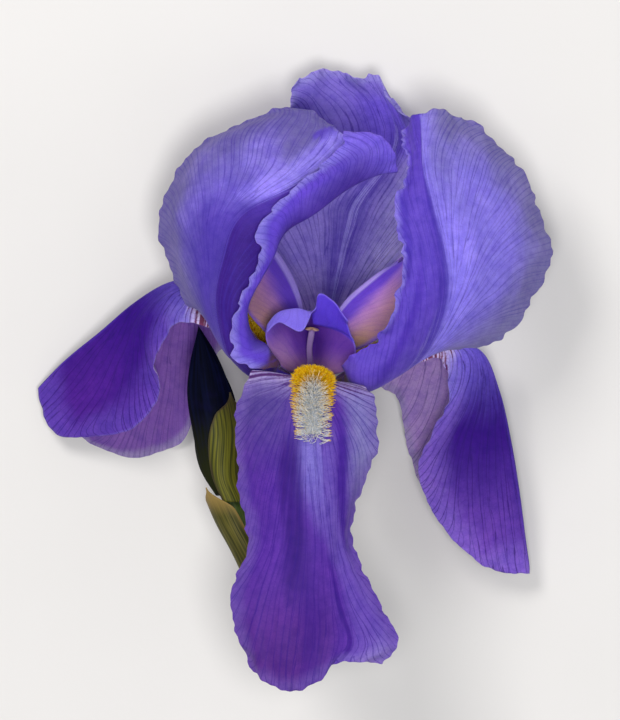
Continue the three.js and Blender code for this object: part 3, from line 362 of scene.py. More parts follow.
def margins_of(points):
    """How far each point is from the margin where the rows start, from the tip and from the
    margin where they end, and how far along each of them it lies, counted round the petal."""
    across_run, along_run = lengths_along(points, 1), lengths_along(points, 0)
    distances = (across_run, along_run[-1:] - along_run, across_run[:, -1:] - across_run)
    flat = 0 * across_run
    first = along_run[:, :1] + flat
    tip = first[-1:] + across_run[-1:] + flat
    last = tip[:, -1:] + along_run[-1:, -1:] - along_run[:, -1:] + flat
    return distances, (first, tip, last)


def frilled(points, normals, grown, frill, notch, cuts, seed):
    """The points with waves along the margins and notches into them, and how far each one
    was from the nearest margin. grown runs from 0 at the claw to 1 where both are full."""
    distances, runs = margins_of(points)
    near = np.stack([np.exp(-(d / FRILL_REACH)) for d in distances])
    share = near / np.maximum(near.sum(0), 1e-6)
    fine = sum(n * w * waves(s, FRILL_WAVES, seed) for n, w, s in zip(near, share, runs))
    points = points + normals * (frill * 1.6 * fine * grown)[..., None]
    into = unit(np.gradient(points, axis=1))
    back = -unit(np.gradient(points, axis=0))
    for direction, distance, run, cut in zip((into, back, -into), distances, runs, cuts):
        depth = notch * (0.1 + 0.6 * waves(run, NOTCH_WAVES, seed + 50))
        depth = depth + cut * (np.maximum(0, waves(run, BITE_WAVES, seed + 70)) - 0.3)
        points = points + direction * (depth * np.exp(-distance / NOTCH_REACH) * grown)[..., None]
    return points, np.minimum.reduce(distances)


def petal(name, rows, rib=0.5, upper=1, ruffle=(0.5, 5, 0.2, 0.5, 3), frill=0.35, notch=0.5,
          swell=0.15, seed=1, counts=(84, 150), bend=3.0, flare=(0.9, 0.9), per_side=22,
          blade=0.17, frill_from=0.3, rib_swell=0.35, relief=None, cuts=(0.0, 0.0, 0.0), haft=0.0):
    """A petal as a thin closed shell. It follows the rows, with the part's slow waves, and
    adds the frilled and notched margin and soft swells that run up the petal. cuts say how
    deep, in mm, broader bites go into the first margin, the tip and the last margin."""
    u, v = np.meshgrid(dense_at_margins(counts[0]), dense_at_margins(counts[1], 0.25))
    points = on_sheet(rows, u, v)
    normals = normals_of(points)
    height, count, phase, tip_height, tip_count = ruffle
    margin_share = np.abs(2 * u - 1) ** 4 * np.minimum(1, 3 * v)
    shift = phase + np.where(u < 0.5, 0.37, 0)
    slow = height * margin_share * np.sin(TURN * (count * v + shift))
    slow = slow + tip_height * v ** 8 * np.sin(TURN * (tip_count * u + phase))
    if relief is not None:
        slow = slow + relief(u, v)
    points = points + normals * slow[..., None]

    grown = eased(v, frill_from * 0.4, frill_from)
    points, edge = frilled(points, normals, grown, frill, notch, cuts, seed)
    rib = rib(v) if callable(rib) else rib
    across = np.where(u < rib, (u - rib) / rib, (u - rib) / (1 - rib))
    fold = np.sin(TURN * (1.3 * across + 0.3 * np.sin(5 * v + seed)))
    fold = fold + 0.6 * np.sin(TURN * (2.7 * across + 0.25 * np.sin(7 * v) + 0.37 * seed))
    fold = fold * eased(v, 0.2, 0.6) * np.minimum(1, edge / 3)
    points = points + normals * (swell * fold)[..., None]
    vein, spacing = petal_veins(points, across, v, bend, flare, per_side, haft)

    claw = np.maximum(0, 1 - v / 0.25)
    near_rib = np.maximum(0, 1 - np.abs(u - rib) / 0.06)
    half = blade * (1 - 0.45 * np.exp(-edge / THIN_REACH)) + 0.25 * claw
    half = half + rib_swell * near_rib ** 2 * (1 - v) ** 0.7 * 0.6
    points[..., 2] = np.maximum(points[..., 2], half - LIFT[2])

    flow = np.stack([vein, spacing, edge], -1)
    faces = [np.stack([across, v, np.full_like(v, float(face))], -1) for face in (1, 0)]
    if upper < 0:
        faces.reverse()
    return shell(name, points, half, {"flow": flow, "place": faces[0]},
                 {"flow": flow, "place": faces[1]})


def kept(piece, nodes, finish):
    """Dresses the piece, lets it ride on the flower and stand for its solids."""
    piece.data.materials.append(finish)
    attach(piece, "root")
    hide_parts(*nodes)


# ---- finishes ----
class Value:
    """A socket of a finish. Arithmetic on it adds the finish's Math nodes."""

    def __init__(self, finish, socket):
        self.finish, self.socket = finish, socket

    def __add__(self, other):
        return self.finish.maths("ADD", self, other)

    def __sub__(self, other):
        return self.finish.maths("SUBTRACT", self, other)

    def __rsub__(self, other):
        return self.finish.maths("SUBTRACT", other, self)

    def __mul__(self, other):
        return self.finish.maths("MULTIPLY", self, other)

    def __truediv__(self, other):
        return self.finish.maths("DIVIDE", self, other)

    def __rtruediv__(self, other):
        return self.finish.maths("DIVIDE", other, self)

    def __abs__(self):
        return self.finish.maths("ABSOLUTE", self)

    __radd__, __rmul__ = __add__, __mul__

    def rise(self, low, high):
        """0 below low, 1 above high, and a smooth step between."""
        return self.finish.node(
            "ShaderNodeMapRange", {"interpolation_type": "SMOOTHSTEP"},
            {"Value": self, "From Min": low, "From Max": high})

    def fall(self, low, high):
        return 1 - self.rise(low, high)


def tint(code):
    """A colour's #rrggbb code as Blender's linear values."""
    parts = [int(code[i:i + 2], 16) / 255 for i in (1, 3, 5)]
    return [c / 12.92 if c <= 0.04045 else ((c + 0.055) / 1.055) ** 2.4 for c in parts] + [1.0]


class Finish:
    """A material, made of nodes that the methods below add. Colours are #rrggbb codes."""

    def __init__(self, name):
        self.material = bpy.data.materials.new(name)
        self.material.use_nodes = True
        self.tree = self.material.node_tree
        self.tree.nodes.clear()
        self.place = self.node("ShaderNodeTexCoord", out="Object")

    def node(self, kind, settings=None, inputs=None, out=0):
        node = self.tree.nodes.new(kind)
        for key, value in (settings or {}).items():
            setattr(node, key, value)
        for key, value in (inputs or {}).items():
            if isinstance(value, Value):
                self.tree.links.new(value.socket, node.inputs[key])
            else:
                node.inputs[key].default_value = tint(value) if isinstance(value, str) else value
        return Value(self, node.outputs[out])

    def maths(self, operation, *terms):
        return self.node("ShaderNodeMath", {"operation": operation}, dict(enumerate(terms)))

    def parts(self, name):
        """The three numbers kept at each point of a mesh under this name."""
        kept_there = self.node("ShaderNodeAttribute", {"attribute_name": name}, out="Vector")
        return [self.node("ShaderNodeSeparateXYZ", None, {0: kept_there}, out=i) for i in range(3)]

    def at(self, x, y, z=0.0):
        return self.node("ShaderNodeCombineXYZ", None, {0: x, 1: y, 2: z})

    def cloud(self, size, detail=2.0, where=None):
        """Soft noise about 0.5, its patches this many millimetres across, or one unit of where."""
        scale = 1 / size if where else 1 / (size * MM)
        return self.node("ShaderNodeTexNoise", None,
                         {"Vector": where or self.place, "Scale": scale, "Detail": detail})

    def mix(self, amount, first, second, how="MIX"):
        return self.node("ShaderNodeMix", {"data_type": "RGBA", "blend_type": how},
                         {0: amount, 6: first, 7: second}, out=2)

    def skin(self, colour, roughness, height, depth, **fixed):
        """The surface: what varies is linked, and the rest is set on the shader itself."""
        bump = self.node("ShaderNodeBump", None, {"Height": height, "Distance": depth * MM})
        inputs = {"Base Color": colour, "Roughness": roughness, "Normal": bump}
        inputs.update({key.replace("_", " "): value for key, value in fixed.items()})
        shader = self.node("ShaderNodeBsdfPrincipled", None, inputs)
        output = self.tree.nodes.new("ShaderNodeOutputMaterial")
        self.tree.links.new(shader.socket, output.inputs["Surface"])
        return self.material


PETAL_LIGHT = {"Subsurface_Weight": 0.45, "Subsurface_Radius": (1.0, 0.5, 1.3),
               "Subsurface_Scale": 0.0008, "Sheen_Weight": 0.03, "Sheen_Roughness": 0.4,
               "Specular_IOR_Level": 0.1}


VEIN_REACH = 0.17                      # mm, from a vein's middle to where its colour ends
NET_CELL = 1.3                         # mm, across a cell of the petal's skin


def branching_veins(f, apart):
    """How far, in mm, a point is from its nearest vein. Veins run about this many mm apart:
    where they would come closer, every second one joins the one beside it."""
    crowd = f.maths("MAXIMUM", apart / f.spacing, 1.0)
    wander = (f.cloud(1.0, 2.0, f.at(f.fan * 9.0, f.along * 5.0)) - 0.5) * 2.2
    uneven = (f.cloud(1.0, 2.0, f.at(f.fan * 14.0, f.along * 4.0, 9.0)) - 0.5) * 2.8
    level = f.maths("MAXIMUM", f.maths("LOGARITHM", crowd, 2.0) + uneven, 0.0)
    whole = f.maths("FLOOR", level)
    joined = level - whole
    merged = f.maths("POWER", 2.0, whole)
    turn = f.maths("FLOORED_MODULO", (f.vein + wander * crowd) / merged, 2.0)
    main = f.maths("MINIMUM", turn, 2 - turn)
    nearest = f.maths("MINIMUM", main, abs(turn - 1 + joined) * 1.25)
    return nearest * merged * f.spacing


def petal_finish(name, ground, zones, vein, haft=None, strength=0.45, apart=1.35, under=(1.35, 1.0),
                 haft_vein=None, brushed=1.0, mottled=1.0):
    """A petal's colours: its ground, then each zone over it, then the veins. A zone is a
    function that gives its weight from the petal's values, and its colour. The haft is a
    zone whose veins are broader, closer and redder. under is how far apart the veins run on
    the lower face, and how strong they are there beside the upper face's. brushed and
    mottled scale the fine fibres and the small patches."""
    f = Finish(name)
    f.vein, f.spacing, f.edge = f.parts("flow")
    across, along, f.upper = f.parts("place")
    f.fan = f.vein / (abs(f.vein) + 30.0)
    f.blotch = f.cloud(9.0, 3.0)
    f.streak = f.cloud(1.0, 2.0, f.at(f.fan * 12.0, along * 1.5, 3.0))
    fibre = f.cloud(1.0, 4.0, f.at(f.fan * 60.0, along * 12.0, 5.0))
    cells = f.node("ShaderNodeTexVoronoi", {"feature": "DISTANCE_TO_EDGE"},
                   {"Vector": f.place, "Scale": 1 / (NET_CELL * MM)})
    net = cells.fall(0.02, 0.16)
    strength = f.upper * strength * (1 - under[1]) + strength * under[1]
    f.across = across + (f.streak - 0.5) * 0.1 + (fibre - 0.5) * (0.12 * brushed)
    f.along = along + (f.blotch - 0.5) * 0.06 + (fibre - 0.5) * (0.07 * brushed)
    on_haft = haft(f) if haft else 0.0
    apart = (f.upper * (apart - under[0]) + under[0]) * (1 - 0.35 * on_haft)
    distance = branching_veins(f, apart)
    reach = VEIN_REACH + 0.2 * on_haft
    line = (distance / reach).fall(0.15, 1.0)
    halo = (distance / reach).fall(0.0, 2.8)
    faint = f.cloud(1.0, 2.0, f.at(f.fan * 20.0, along * 4.0, 7.0)).rise(0.3, 0.65)

    colour = ground
    for weight, shade in zones:
        colour = f.mix(weight(f), colour, shade)
    darker = f.mix(1.0, colour, "#aa9bdc", "MULTIPLY")
    patches = f.cloud(2.4, 3.0)
    colour = f.mix(f.streak.rise(0.35, 0.75) * 0.2 + fibre.rise(0.4, 0.7) * (0.15 * brushed)
                   + patches.rise(0.35, 0.7) * (0.3 * mottled), colour, darker)
    lighter = f.mix(1.0, colour, (1.45, 1.4, 1.25, 1.0), "MULTIPLY")
    colour = f.mix(f.blotch.rise(0.4, 0.75) * 0.4, colour, lighter)
    amount = (line * (0.45 + 0.75 * faint) + halo * 0.16 + net * (0.22 * mottled)) * strength
    if haft:
        vein = f.mix(on_haft, vein, haft_vein)
        amount = amount * (1 + on_haft * 1.2)
    colour = f.mix(amount, colour, vein)
    # Painted glint: where this fine noise is high the colour is lightened, as sparkle off the petal's
    # skin would be; the same noise also roughens the bump.
    grain_and_glint = f.cloud(0.2, 3.0)
    glint = f.mix(1.0, colour, (1.35, 1.4, 1.25, 1.0), "MULTIPLY")
    colour = f.mix(grain_and_glint.rise(0.45, 0.75) * 0.5, colour, glint)
    height = (line * -0.15 + halo * -0.1 + grain_and_glint * 0.2 + fibre * (0.25 * brushed)
              - net * (0.15 * mottled))
    return f.skin(colour, f.blotch * 0.2 + 0.5, height, 0.09, **PETAL_LIGHT)


# ---- the petals ----
def rim(width):
    """The margin, this many millimetres wide."""
    return lambda f: (f.edge / width + (f.blotch - 0.5) * 0.9).fall(0.25, 1.2)


def both(f):
    return abs(f.across)


def band(value, middle, half, soft):
    """1 where the value is within half of the middle, and 0 farther off than half + soft."""
    return abs(value - middle).fall(half, half + soft)


def left_keel(v):
    return 0.34 + 0.08 * eased(v, 0.55, 0.8)


def right_keel(v):
    return 0.8 - 0.36 * v


def back_midrib(v):
    return 0.5 + 0.2 * eased(v, 0.55, 0.8)


left_standard_finish = petal_finish("left_standard_skin", "#8a7ae0", [
    (lambda f: f.along.fall(0.25, 0.55) * 0.85, "#5a4594"),
    (rim(31.0), "#665d98"),
    # Partly the petal's deeper violet and partly painted shade, where the lobe is hollow in its middle.
    (lambda f: f.across.rise(-0.7, -0.25) * f.along.rise(0.28, 0.42) * f.along.fall(0.64, 0.8) * 0.9,
     "#46309a"),
    # Painted shade: a darker patch at the lobe's top beside the tip, where the petal's folded corner
    # lies in shadow.
    (lambda f: band(f.across, -0.29, 0.05, 0.05) * band(f.along, 0.935, 0.035, 0.02) * 0.7, "#5a40b8"),
    # Painted highlight: a lighter band along the lobe's upper keel, where the light catches the ridge.
    (lambda f: band(f.across, -0.14, 0.06, 0.14) * f.along.rise(0.64, 0.74) * 0.7, "#9688ea"),
    # The outer face between keel and roll: its darker violet is deepened with painted shade, as this
    # part faces away from the light.
    (lambda f: f.across.rise(0.0, 0.05) * f.across.fall(0.5, 0.75), "#37197a"),
    (lambda f: f.across.rise(0.0, 0.05) * f.along.rise(0.58, 0.74) * 0.6, "#5a40b0"),
    (lambda f: f.across.rise(0.55, 0.8) * f.along.fall(0.75, 0.95), "#593fb4"),
    (lambda f: f.across.rise(0.84, 0.98) * f.along.rise(0.1, 0.2), "#7d74c4"),
    # Painted shade: a dark brownish band in the fold where the inner margin curls over near the claw.
    (lambda f: band(f.along, 0.2, 0.04, 0.05) * f.across.rise(0.4, 0.7), "#4a3040"),
    (lambda f: f.along.rise(0.82, 0.97) * f.across.rise(0.1, 0.4) * 0.9, "#735fcc"),
], "#3a248c", strength=0.4)

right_standard_finish = petal_finish("right_standard_skin", "#8276d2", [
    (lambda f: f.along.fall(0.15, 0.55) * 0.7, "#7060b4"),
    (lambda f: f.across.rise(0.1, 0.5) * rim(17.0)(f), "#746ea0"),
    (lambda f: f.across.fall(-0.04, 0.02), "#5b43b0"),
    # Painted shade: a dark line down the crease at the keel.
    (lambda f: band(f.across, 0.0, 0.01, 0.07) * f.along.rise(0.2, 0.35)
     * f.along.fall(0.75, 0.95) * 0.85, "#412a9c"),
    # Painted highlight: a thin pale line just beside the crease, in its lower part.
    (lambda f: band(f.across, -0.045, 0.004, 0.02) * f.along.fall(0.35, 0.5) * 0.5, "#8d84c8"),
    # Painted shade: a darker line where the rolled part of the petal folds.
    (lambda f: band(f.across, -0.35, 0.02, 0.12) * f.along.fall(0.5, 0.7) * 0.7, "#4628a0"),
    # Painted highlight: a bright band on the lobe beside the crease.
    (lambda f: band(f.across, 0.16, 0.04, 0.16) * band(f.along, 0.5, 0.12, 0.2) * 0.5, "#9486f4"),
    (lambda f: band(f.across, -0.78, 0.08, 0.12) * band(f.along, 0.7, 0.06, 0.1) * 0.7, "#4a35a4"),
    (lambda f: f.across.fall(-0.97, -0.8) * f.along.rise(0.35, 0.5) * 0.8, "#7c72c4"),
    # Painted shade: dark brownish shade inside the curled lobe at the claw end of the first margin.
    (lambda f: f.along.fall(0.16, 0.3) * f.across.fall(-0.9, -0.6), "#4c3a3e"),
], "#38258a", strength=0.38)

back_standard_finish = petal_finish("back_standard_skin", "#7c6cc0", [
    # Painted light: the lower part of the inner face is made paler than the petal, to make up for the
    # shade deep in the cup.
    (lambda f: f.along.fall(0.5, 0.85) * 0.85, "#9080cc"),
    (rim(3.0), "#8c84c4"),
    # Painted light: a near-white lilac on the lower right of the inner face, where the other standards
    # shade the cup.
    (lambda f: f.across.rise(0.1, 0.6) * f.along.fall(0.6, 0.85), "#cfc6fa"),
    (lambda f: band(f.across, 0.0, 0.2, 0.3) * band(f.along, 0.8, 0.05, 0.1) * 0.5, "#7050dc"),
    # Partly the petal's own greyish tone and partly painted light: the claw end is paled further for the
    # same shade.
    (lambda f: f.along.fall(0.2, 0.45) * 0.9, "#bba6cc"),
    (lambda f: both(f).fall(0.03, 0.2) * f.along.fall(0.7, 0.85) * 0.75, "#5440a6"),
    (lambda f: both(f).fall(0.012, 0.03) * f.along.fall(0.72, 0.88) * 0.7, "#9c92d6"),
], "#36218a", strength=0.42)


def past_ridge(f):
    """How far across a spot is from the pale ridge, which bears right down the front fall."""
    return f.across - f.along.rise(0.58, 0.84) * 0.6


def front_haft(f):
    return f.along.fall(0.3, 0.41) * both(f).rise(0.15, 0.35)


front_fall_finish = petal_finish("front_fall_skin", "#512a90", [
    (lambda f: f.along.rise(0.7, 0.95) * f.across.fall(-0.1, 0.3), "#50267a"),
    # Painted light: the upper part of the right half, which turns back, is paler to show the light
    # falling on it there.
    (lambda f: f.along.fall(0.5, 0.68) * f.across.rise(0.3, 0.6), "#8079b2"),
    (lambda f: f.along.fall(0.4, 0.6) * f.across.fall(-0.5, 0.0) * 0.9, "#524384"),
    (lambda f: band(past_ridge(f), 0.02, 0.12, 0.24) * f.along.rise(0.4, 0.5)
     * (1 - f.along.rise(0.6, 0.8) * 0.3), "#654ea4"),
    (lambda f: band(past_ridge(f), -0.04, 0.06, 0.1) * band(f.along, 0.5, 0.05, 0.12) * 0.6, "#7a74be"),
    (lambda f: band(past_ridge(f), 0.34, 0.02, 0.1) * band(f.along, 0.6, 0.1, 0.1) * 0.8, "#3d1a86"),
    (lambda f: band(f.across, -0.26, 0.05, 0.14) * band(f.along, 0.64, 0.1, 0.12)
     * (f.streak.rise(0.3, 0.6) * 0.5 + 0.4), "#2f0f6c"),
    (lambda f: band(f.across - f.along * 1.3, -0.85, 0.01, 0.05)
     * f.along.rise(0.7, 0.8) * 0.9, "#36147a"),
    (lambda f: band(f.across, -0.1, 0.02, 0.14) * f.along.rise(0.7, 0.85) * 0.5, "#3d1880"),
    (lambda f: f.along.rise(0.84, 0.96) * f.across.rise(0.5, 0.8), "#7a6aae"),
    (lambda f: rim(4.5)(f) * 0.45, "#7560a8"),
    (lambda f: f.upper.fall(0.3, 0.7), "#765fa8"),
    (front_haft, "#a89cca"),
], "#2c1076", front_haft, strength=0.45, haft_vein="#4c2860")


def side_haft(f):
    """The pale striped part beside the claw, broader towards the inner margin."""
    inner = f.along.fall(0.4, 0.48) * f.across.fall(-0.6, -0.25)
    return f.maths("MAXIMUM", inner, f.along.fall(0.34, 0.42)) * f.upper.rise(0.3, 0.7)


def side_fall_finish(name, margin_width, margin, tip, shoulder, lower_face, under):
    return petal_finish(name, "#300678", [
        (lambda f: f.along.rise(0.66, 1.0) * 0.9, tip),
        (lambda f: rim(margin_width)(f) * 0.9, margin),
        (lambda f: f.along.fall(0.44, 0.68) * 0.85, shoulder),
        (lambda f: f.along.fall(0.36, 0.6) * both(f).rise(0.3, 0.9) * 0.9, "#857cc6"),
        (lambda f: both(f).fall(0.02, 0.1) * 0.5, "#5030a8"),
        (lambda f: rim(0.8)(f) * 0.3, "#7f74c0"),
        (lambda f: f.upper.fall(0.3, 0.7), lower_face),
        (lambda f: f.upper.fall(0.3, 0.7) * rim(2.5)(f) * 0.7, "#9a8fb2"),
        (side_haft, "#c0b6e2"),
    ], "#23085f", side_haft, strength=0.5, apart=1.5, under=under, haft_vein="#682f50")


FALL_FLOW = dict(bend=2.4, flare=(0.88, 0.88), notch=0.3, frill=0.25)
STANDARDS = [
    ("standard_left", STANDARD_LEFT, left_standard_finish,
     dict(rib=left_keel, upper=-1, ruffle=(0.5, 6, 0.1, 0.3, 3), seed=3, per_side=26,
          counts=(110, 150), notch=0.5, frill=0.35, bend=5.0, flare=(0.7, 0.4),
          cuts=(0.0, 0.0, 1.5))),
    ("standard_right", STANDARD_RIGHT, right_standard_finish,
     dict(rib=right_keel, upper=-1, ruffle=(0.6, 6, 0.3, 0.5, 3), seed=5, per_side=24,
          notch=0.9, frill=0.45, bend=5.0, flare=(0.5, 0.65), cuts=(1.2, 0.0, 0.0))),
    ("standard_back", STANDARD_BACK, back_standard_finish,
     dict(rib=back_midrib, upper=1, ruffle=(0.9, 5, 0.6, 1.0, 3), seed=8, per_side=24,
          notch=0.9, frill=0.45, bend=3.4, flare=(0.7, 0.8), cuts=(0.0, 1.1, 0.0))),
]
FALLS = [
    ("fall_front", FALL_FRONT, front_fall_finish,
     dict(upper=-1, ruffle=(0.6, 5, 0.2, 0.5, 3), seed=12, per_side=18, haft=0.36,
          **{**FALL_FLOW, "frill": 0.45, "notch": 0.9})),
    ("fall_left", FALL_LEFT,
     side_fall_finish("left_fall_skin", 9.0, "#5c3ea2", "#4c1c86", "#5c4cac", "#7e58a8",
                      (1.3, 0.5)),
     dict(upper=1, ruffle=(0.5, 5, 0.5, 0.4, 3), seed=15, per_side=22,
          haft=0.4, **{**FALL_FLOW, "bend": 3.2, "flare": (0.96, 0.6)})),
    ("fall_right", FALL_RIGHT,
     side_fall_finish("right_fall_skin", 9.0, "#7a5cba", "#7048ae", "#7a68dc", "#a88cc2",
                      (2.4, 0.7)),
     dict(upper=-1, ruffle=(0.5, 5, 0.8, 0.4, 3), seed=19, per_side=22,
          haft=0.38, **{**FALL_FLOW, "frill": 0.4, "notch": 0.5})),
]
for group, slot in ((STANDARDS, "standard_petal"), (FALLS, "fall_petal")):
    for node, rows, finish, shape in group:
        kept(petal(node + "_petal", rows, **shape), [node], finish)


# ---- round bodies, hairs and sheaths ----
def rounds(name, paths, radii, values=None):
    """Closed tubes, each along its own path. paths is tubes by stations by 3, and radii is
    tubes by stations by sides; the finish finds s, cos and sin of the turn in "round"."""
    tubes_count, stations, sides = radii.shape
    tangents = unit(np.gradient(paths, axis=1))
    side = np.tile(np.array([1.0, 0.13, 0.21]), (tubes_count, 1))
    turns = np.arange(sides) * TURN / sides
    rings = []
    for k in range(stations):
        tangent = tangents[:, k]
        side = unit(side - tangent * (side * tangent).sum(-1, keepdims=True))
        other = np.cross(tangent, side)
        ring = (side[:, None] * np.cos(turns)[None, :, None]
                + other[:, None] * np.sin(turns)[None, :, None])
        rings.append(paths[:, k, None] + ring * radii[:, k, :, None])
    points = np.stack(rings, 1).reshape(-1, 3) + LIFT
    points[:, 2] = np.maximum(points[:, 2], 0.0)
    at = np.arange(tubes_count * stations * sides).reshape(tubes_count, stations, sides)
    ahead = np.roll(at, -1, axis=2)
    walls = np.stack([at[:, :-1], ahead[:, :-1], ahead[:, 1:], at[:, 1:]], -1).reshape(-1, 4)
    faces = walls.tolist() + at[:, 0, ::-1].tolist() + at[:, -1].tolist()
    s = np.broadcast_to(np.linspace(0, 1, stations)[None, :, None], radii.shape)
    turned = [np.broadcast_to(f(turns), radii.shape) for f in (np.cos, np.sin)]
    kept_values = {"round": np.stack([s, *turned], -1).reshape(-1, 3)}
    for key, value in (values or {}).items():
        kept_values[key] = np.repeat(value[:, :, None], sides, axis=2).reshape(-1, 3)
    return new_mesh(name, points, faces, kept_values)


def round_body(name, stations, steps, sides, relief=None):
    """One body along a list of [x, y, z, radius], with relief on its radius."""
    s = np.linspace(0, 1, steps + 1)
    along = on_curve(stations, s)
    turns = np.arange(sides) * TURN / sides
    radii = np.maximum(along[:, 3, None], 0.03) * np.ones(sides)
    if relief is not None:
        radii = radii * (1 + relief(s[:, None], turns[None, :]))
    return rounds(name, along[None, :, :3], radii[None])


HAIR_SIDES = 5
HAIR_WIDTHS = np.array([1.0, 0.85, 0.8, 0.95, 1.15, 0.7])     # from root to tip
PAD_END = 0.93                         # share of the beard's length that has the pad under it


def hair_tubes(name, roots, directions, curls, lengths, radii, mark):
    """Hairs that leave their roots along directions and bend towards curls."""
    s = np.linspace(0, 1, len(HAIR_WIDTHS))
    reach = lengths[:, None, None]
    paths = (roots[:, None] + directions[:, None] * s[None, :, None] * reach
             + curls[:, None] * (s ** 2)[None, :, None] * reach)
    widths = (radii[:, None] * HAIR_WIDTHS)[..., None] * np.ones(HAIR_SIDES)
    marks = np.stack([np.broadcast_to(value, (len(roots), len(s)))
                      for value in (s, mark[:, None, 0], mark[:, None, 1])], -1)
    return rounds(name, paths, widths, {"hair": marks})


def on_fall(rows, side, v, half_width, narrowed):
    """A spot beside a fall's midrib, and the directions across, along and out of the fall."""
    step = 0.01
    middle = np.full_like(v, 0.5)
    wide = on_sheet(rows, middle + step, v) - on_sheet(rows, middle - step, v)
    per_u = np.linalg.norm(wide, axis=-1) / (2 * step)
    u = 0.5 + side * half_width * narrowed / per_u
    across = unit(on_sheet(rows, u + step, v) - on_sheet(rows, u - step, v))
    along = unit(on_sheet(rows, u, v + step) - on_sheet(rows, u, v - step))
    return on_sheet(rows, u, v), across, along, unit(np.cross(across, along))


def beard(node, rows, face, start, end, half_width, count, length, seed, finish):
    """Hairs on a raised pad along a fall's midrib, between two shares of its length."""
    def narrowing(share):
        return (0.55 + 0.45 * eased(share, 0.3, 0.52)) * (1 - 0.42 * share ** 2)

    side, share = np.meshgrid(np.linspace(-1, 1, 17), np.linspace(0, PAD_END, 49))
    v = start + (end - start) * share
    spots, _, _, out = on_fall(rows, side, v, half_width * (1.05 - 0.35 * share), narrowing(share))
    crown = (1 - side ** 2) * np.minimum(1, 8 * np.minimum(share, PAD_END - share))
    crown = crown * (1 - 0.65 * share)
    lumps = 0.03 * waves(share * 20 + 3 * side, (1.7, 2.9), seed) * crown
    spots = spots + out * face * (0.15 + 0.75 * crown + lumps)[..., None]
    mark = np.stack([0 * side, share, np.abs(side)], -1)
    pad = shell(node + "_pad", spots, 0.1 + 0.25 * crown, {"hair": mark}, {"hair": mark})
    kept(pad, [node], finish)

    draw = np.random.default_rng(seed)
    share = 1 - draw.random(count) ** 0.7
    side = draw.uniform(-1, 1, count)
    v = start + (end - start) * share
    roots, across, along, out = on_fall(rows, side, v, half_width, narrowing(share))
    out = out * face
    lean = side * (0.25 + 1.15 * share) + draw.normal(0, 0.25, count)
    onward = draw.normal(0.08, 0.28, count)
    directions = unit(out + across * lean[:, None] + along * onward[:, None])
    curls = across * (side * 0.25)[:, None] - out * 0.12 + along * draw.normal(0, 0.12, (count, 1))
    lengths = length * (0.7 + 0.4 * draw.random(count)) * (1 - 0.3 * share) * (1 - 0.25 * side ** 4)
    radii = draw.uniform(0.04, 0.075, count)
    mark = np.stack([share, np.abs(side)], -1)
    lift = 0.3 + 0.7 * (1 - side ** 2)
    piece = hair_tubes(node + "_hairs", roots + out * lift[:, None], directions, curls, lengths,
                       radii, mark)
    kept(piece, [node], finish)


SHEATH_HALF = 0.2                      # mm, half of a sheath's thickness


def sheath(name, stations, turns, grid, narrowing):
    """A leafy sheath round a curve, between two angles about it, ending in a soft point."""
    t, s = np.meshgrid(np.linspace(0, 1, grid[0] + 1), np.linspace(0, 1, grid[1] + 1))
    along = on_curve(stations, s)
    spread = (turns[1] - turns[0]) * (1 - narrowing * s ** 3) * (1 - 0.93 * eased(s, 0.8, 1.0))
    turn = (turns[0] + turns[1]) / 2 + spread * (t - 0.5)
    out = np.stack([np.sin(turn), 0 * turn, np.cos(turn)], -1)
    buckle = 0.25 * np.sin(TURN * s * 1.5 + 5 * t + 1) * np.abs(2 * t - 1) ** 2
    points = along[..., :3] + out * (along[..., 3] + buckle)[..., None]
    run = lengths_along(points, 1)
    edge = np.minimum(np.minimum(run, run[:, -1:] - run), 3 * (1 - s) * 10)
    flow = np.stack([(t - 0.5) * spread * along[..., 3], 0 * s + 1, edge], -1)
    half = SHEATH_HALF * (1 - 0.5 * np.exp(-edge / THIN_REACH))
    faces = [np.stack([2 * t - 1, s, np.full_like(s, float(face))], -1) for face in (1, 0)]
    return shell(name, points, half, {"flow": flow, "place": faces[0]},
                 {"flow": flow, "place": faces[1]})


# ---- the beards ----
def beard_finish(name, gold_until, root, tip, down_the_sides):
    """Golden hairs near the throat and down both sides, and pale ones with yellow tips."""
    f = Finish(name)
    s, share, side = f.parts("hair")
    chance = f.cloud(0.7, 1.0)
    gold = f.mix(s.rise(0.0, 0.6), root, tip)
    gold = f.mix(chance.rise(0.35, 0.7) * 0.6, gold, "#f4d01c")
    pale = f.mix(s.rise(0.0, 0.5), "#a6abb0", "#d6d9dc")
    pale = f.mix((s + chance * 0.5).rise(0.9, 1.3) * (0.4 + side), pale, "#cfa428")
    border = share - side * side * down_the_sides + (chance - 0.5) * 0.25
    colour = f.mix(border.rise(gold_until, gold_until + 0.12), gold, pale)
    return f.skin(colour, chance * 0.2 + 0.45, f.cloud(0.12), 0.02,
                  Subsurface_Weight=0.25, Subsurface_Radius=(1.0, 0.8, 0.4),
                  Subsurface_Scale=0.0005, Specular_IOR_Level=0.1)


front_beard_finish = beard_finish("front_beard_hair", 0.45, "#8a5c04", "#c68e02", 0.3)
# Painted light: the side beards lie in the standards' shade, so their gold is made brighter than the
# front beard's to stand in for the light they lack.
side_beard_brightened_finish = beard_finish("side_beard_hair_brightened", 0.8, "#a8700c", "#ffd834", 0.0)
beard("beard_front", FALL_FRONT, -1, 0.16, 0.5, 4.4, 3600, 3.4, 11, front_beard_finish)
beard("beard_left", FALL_LEFT, 1, 0.09, 0.36, 2.6, 700, 3.0, 23, side_beard_brightened_finish)
beard("beard_right", FALL_RIGHT, -1, 0.08, 0.34, 2.6, 700, 3.0, 37, side_beard_brightened_finish)

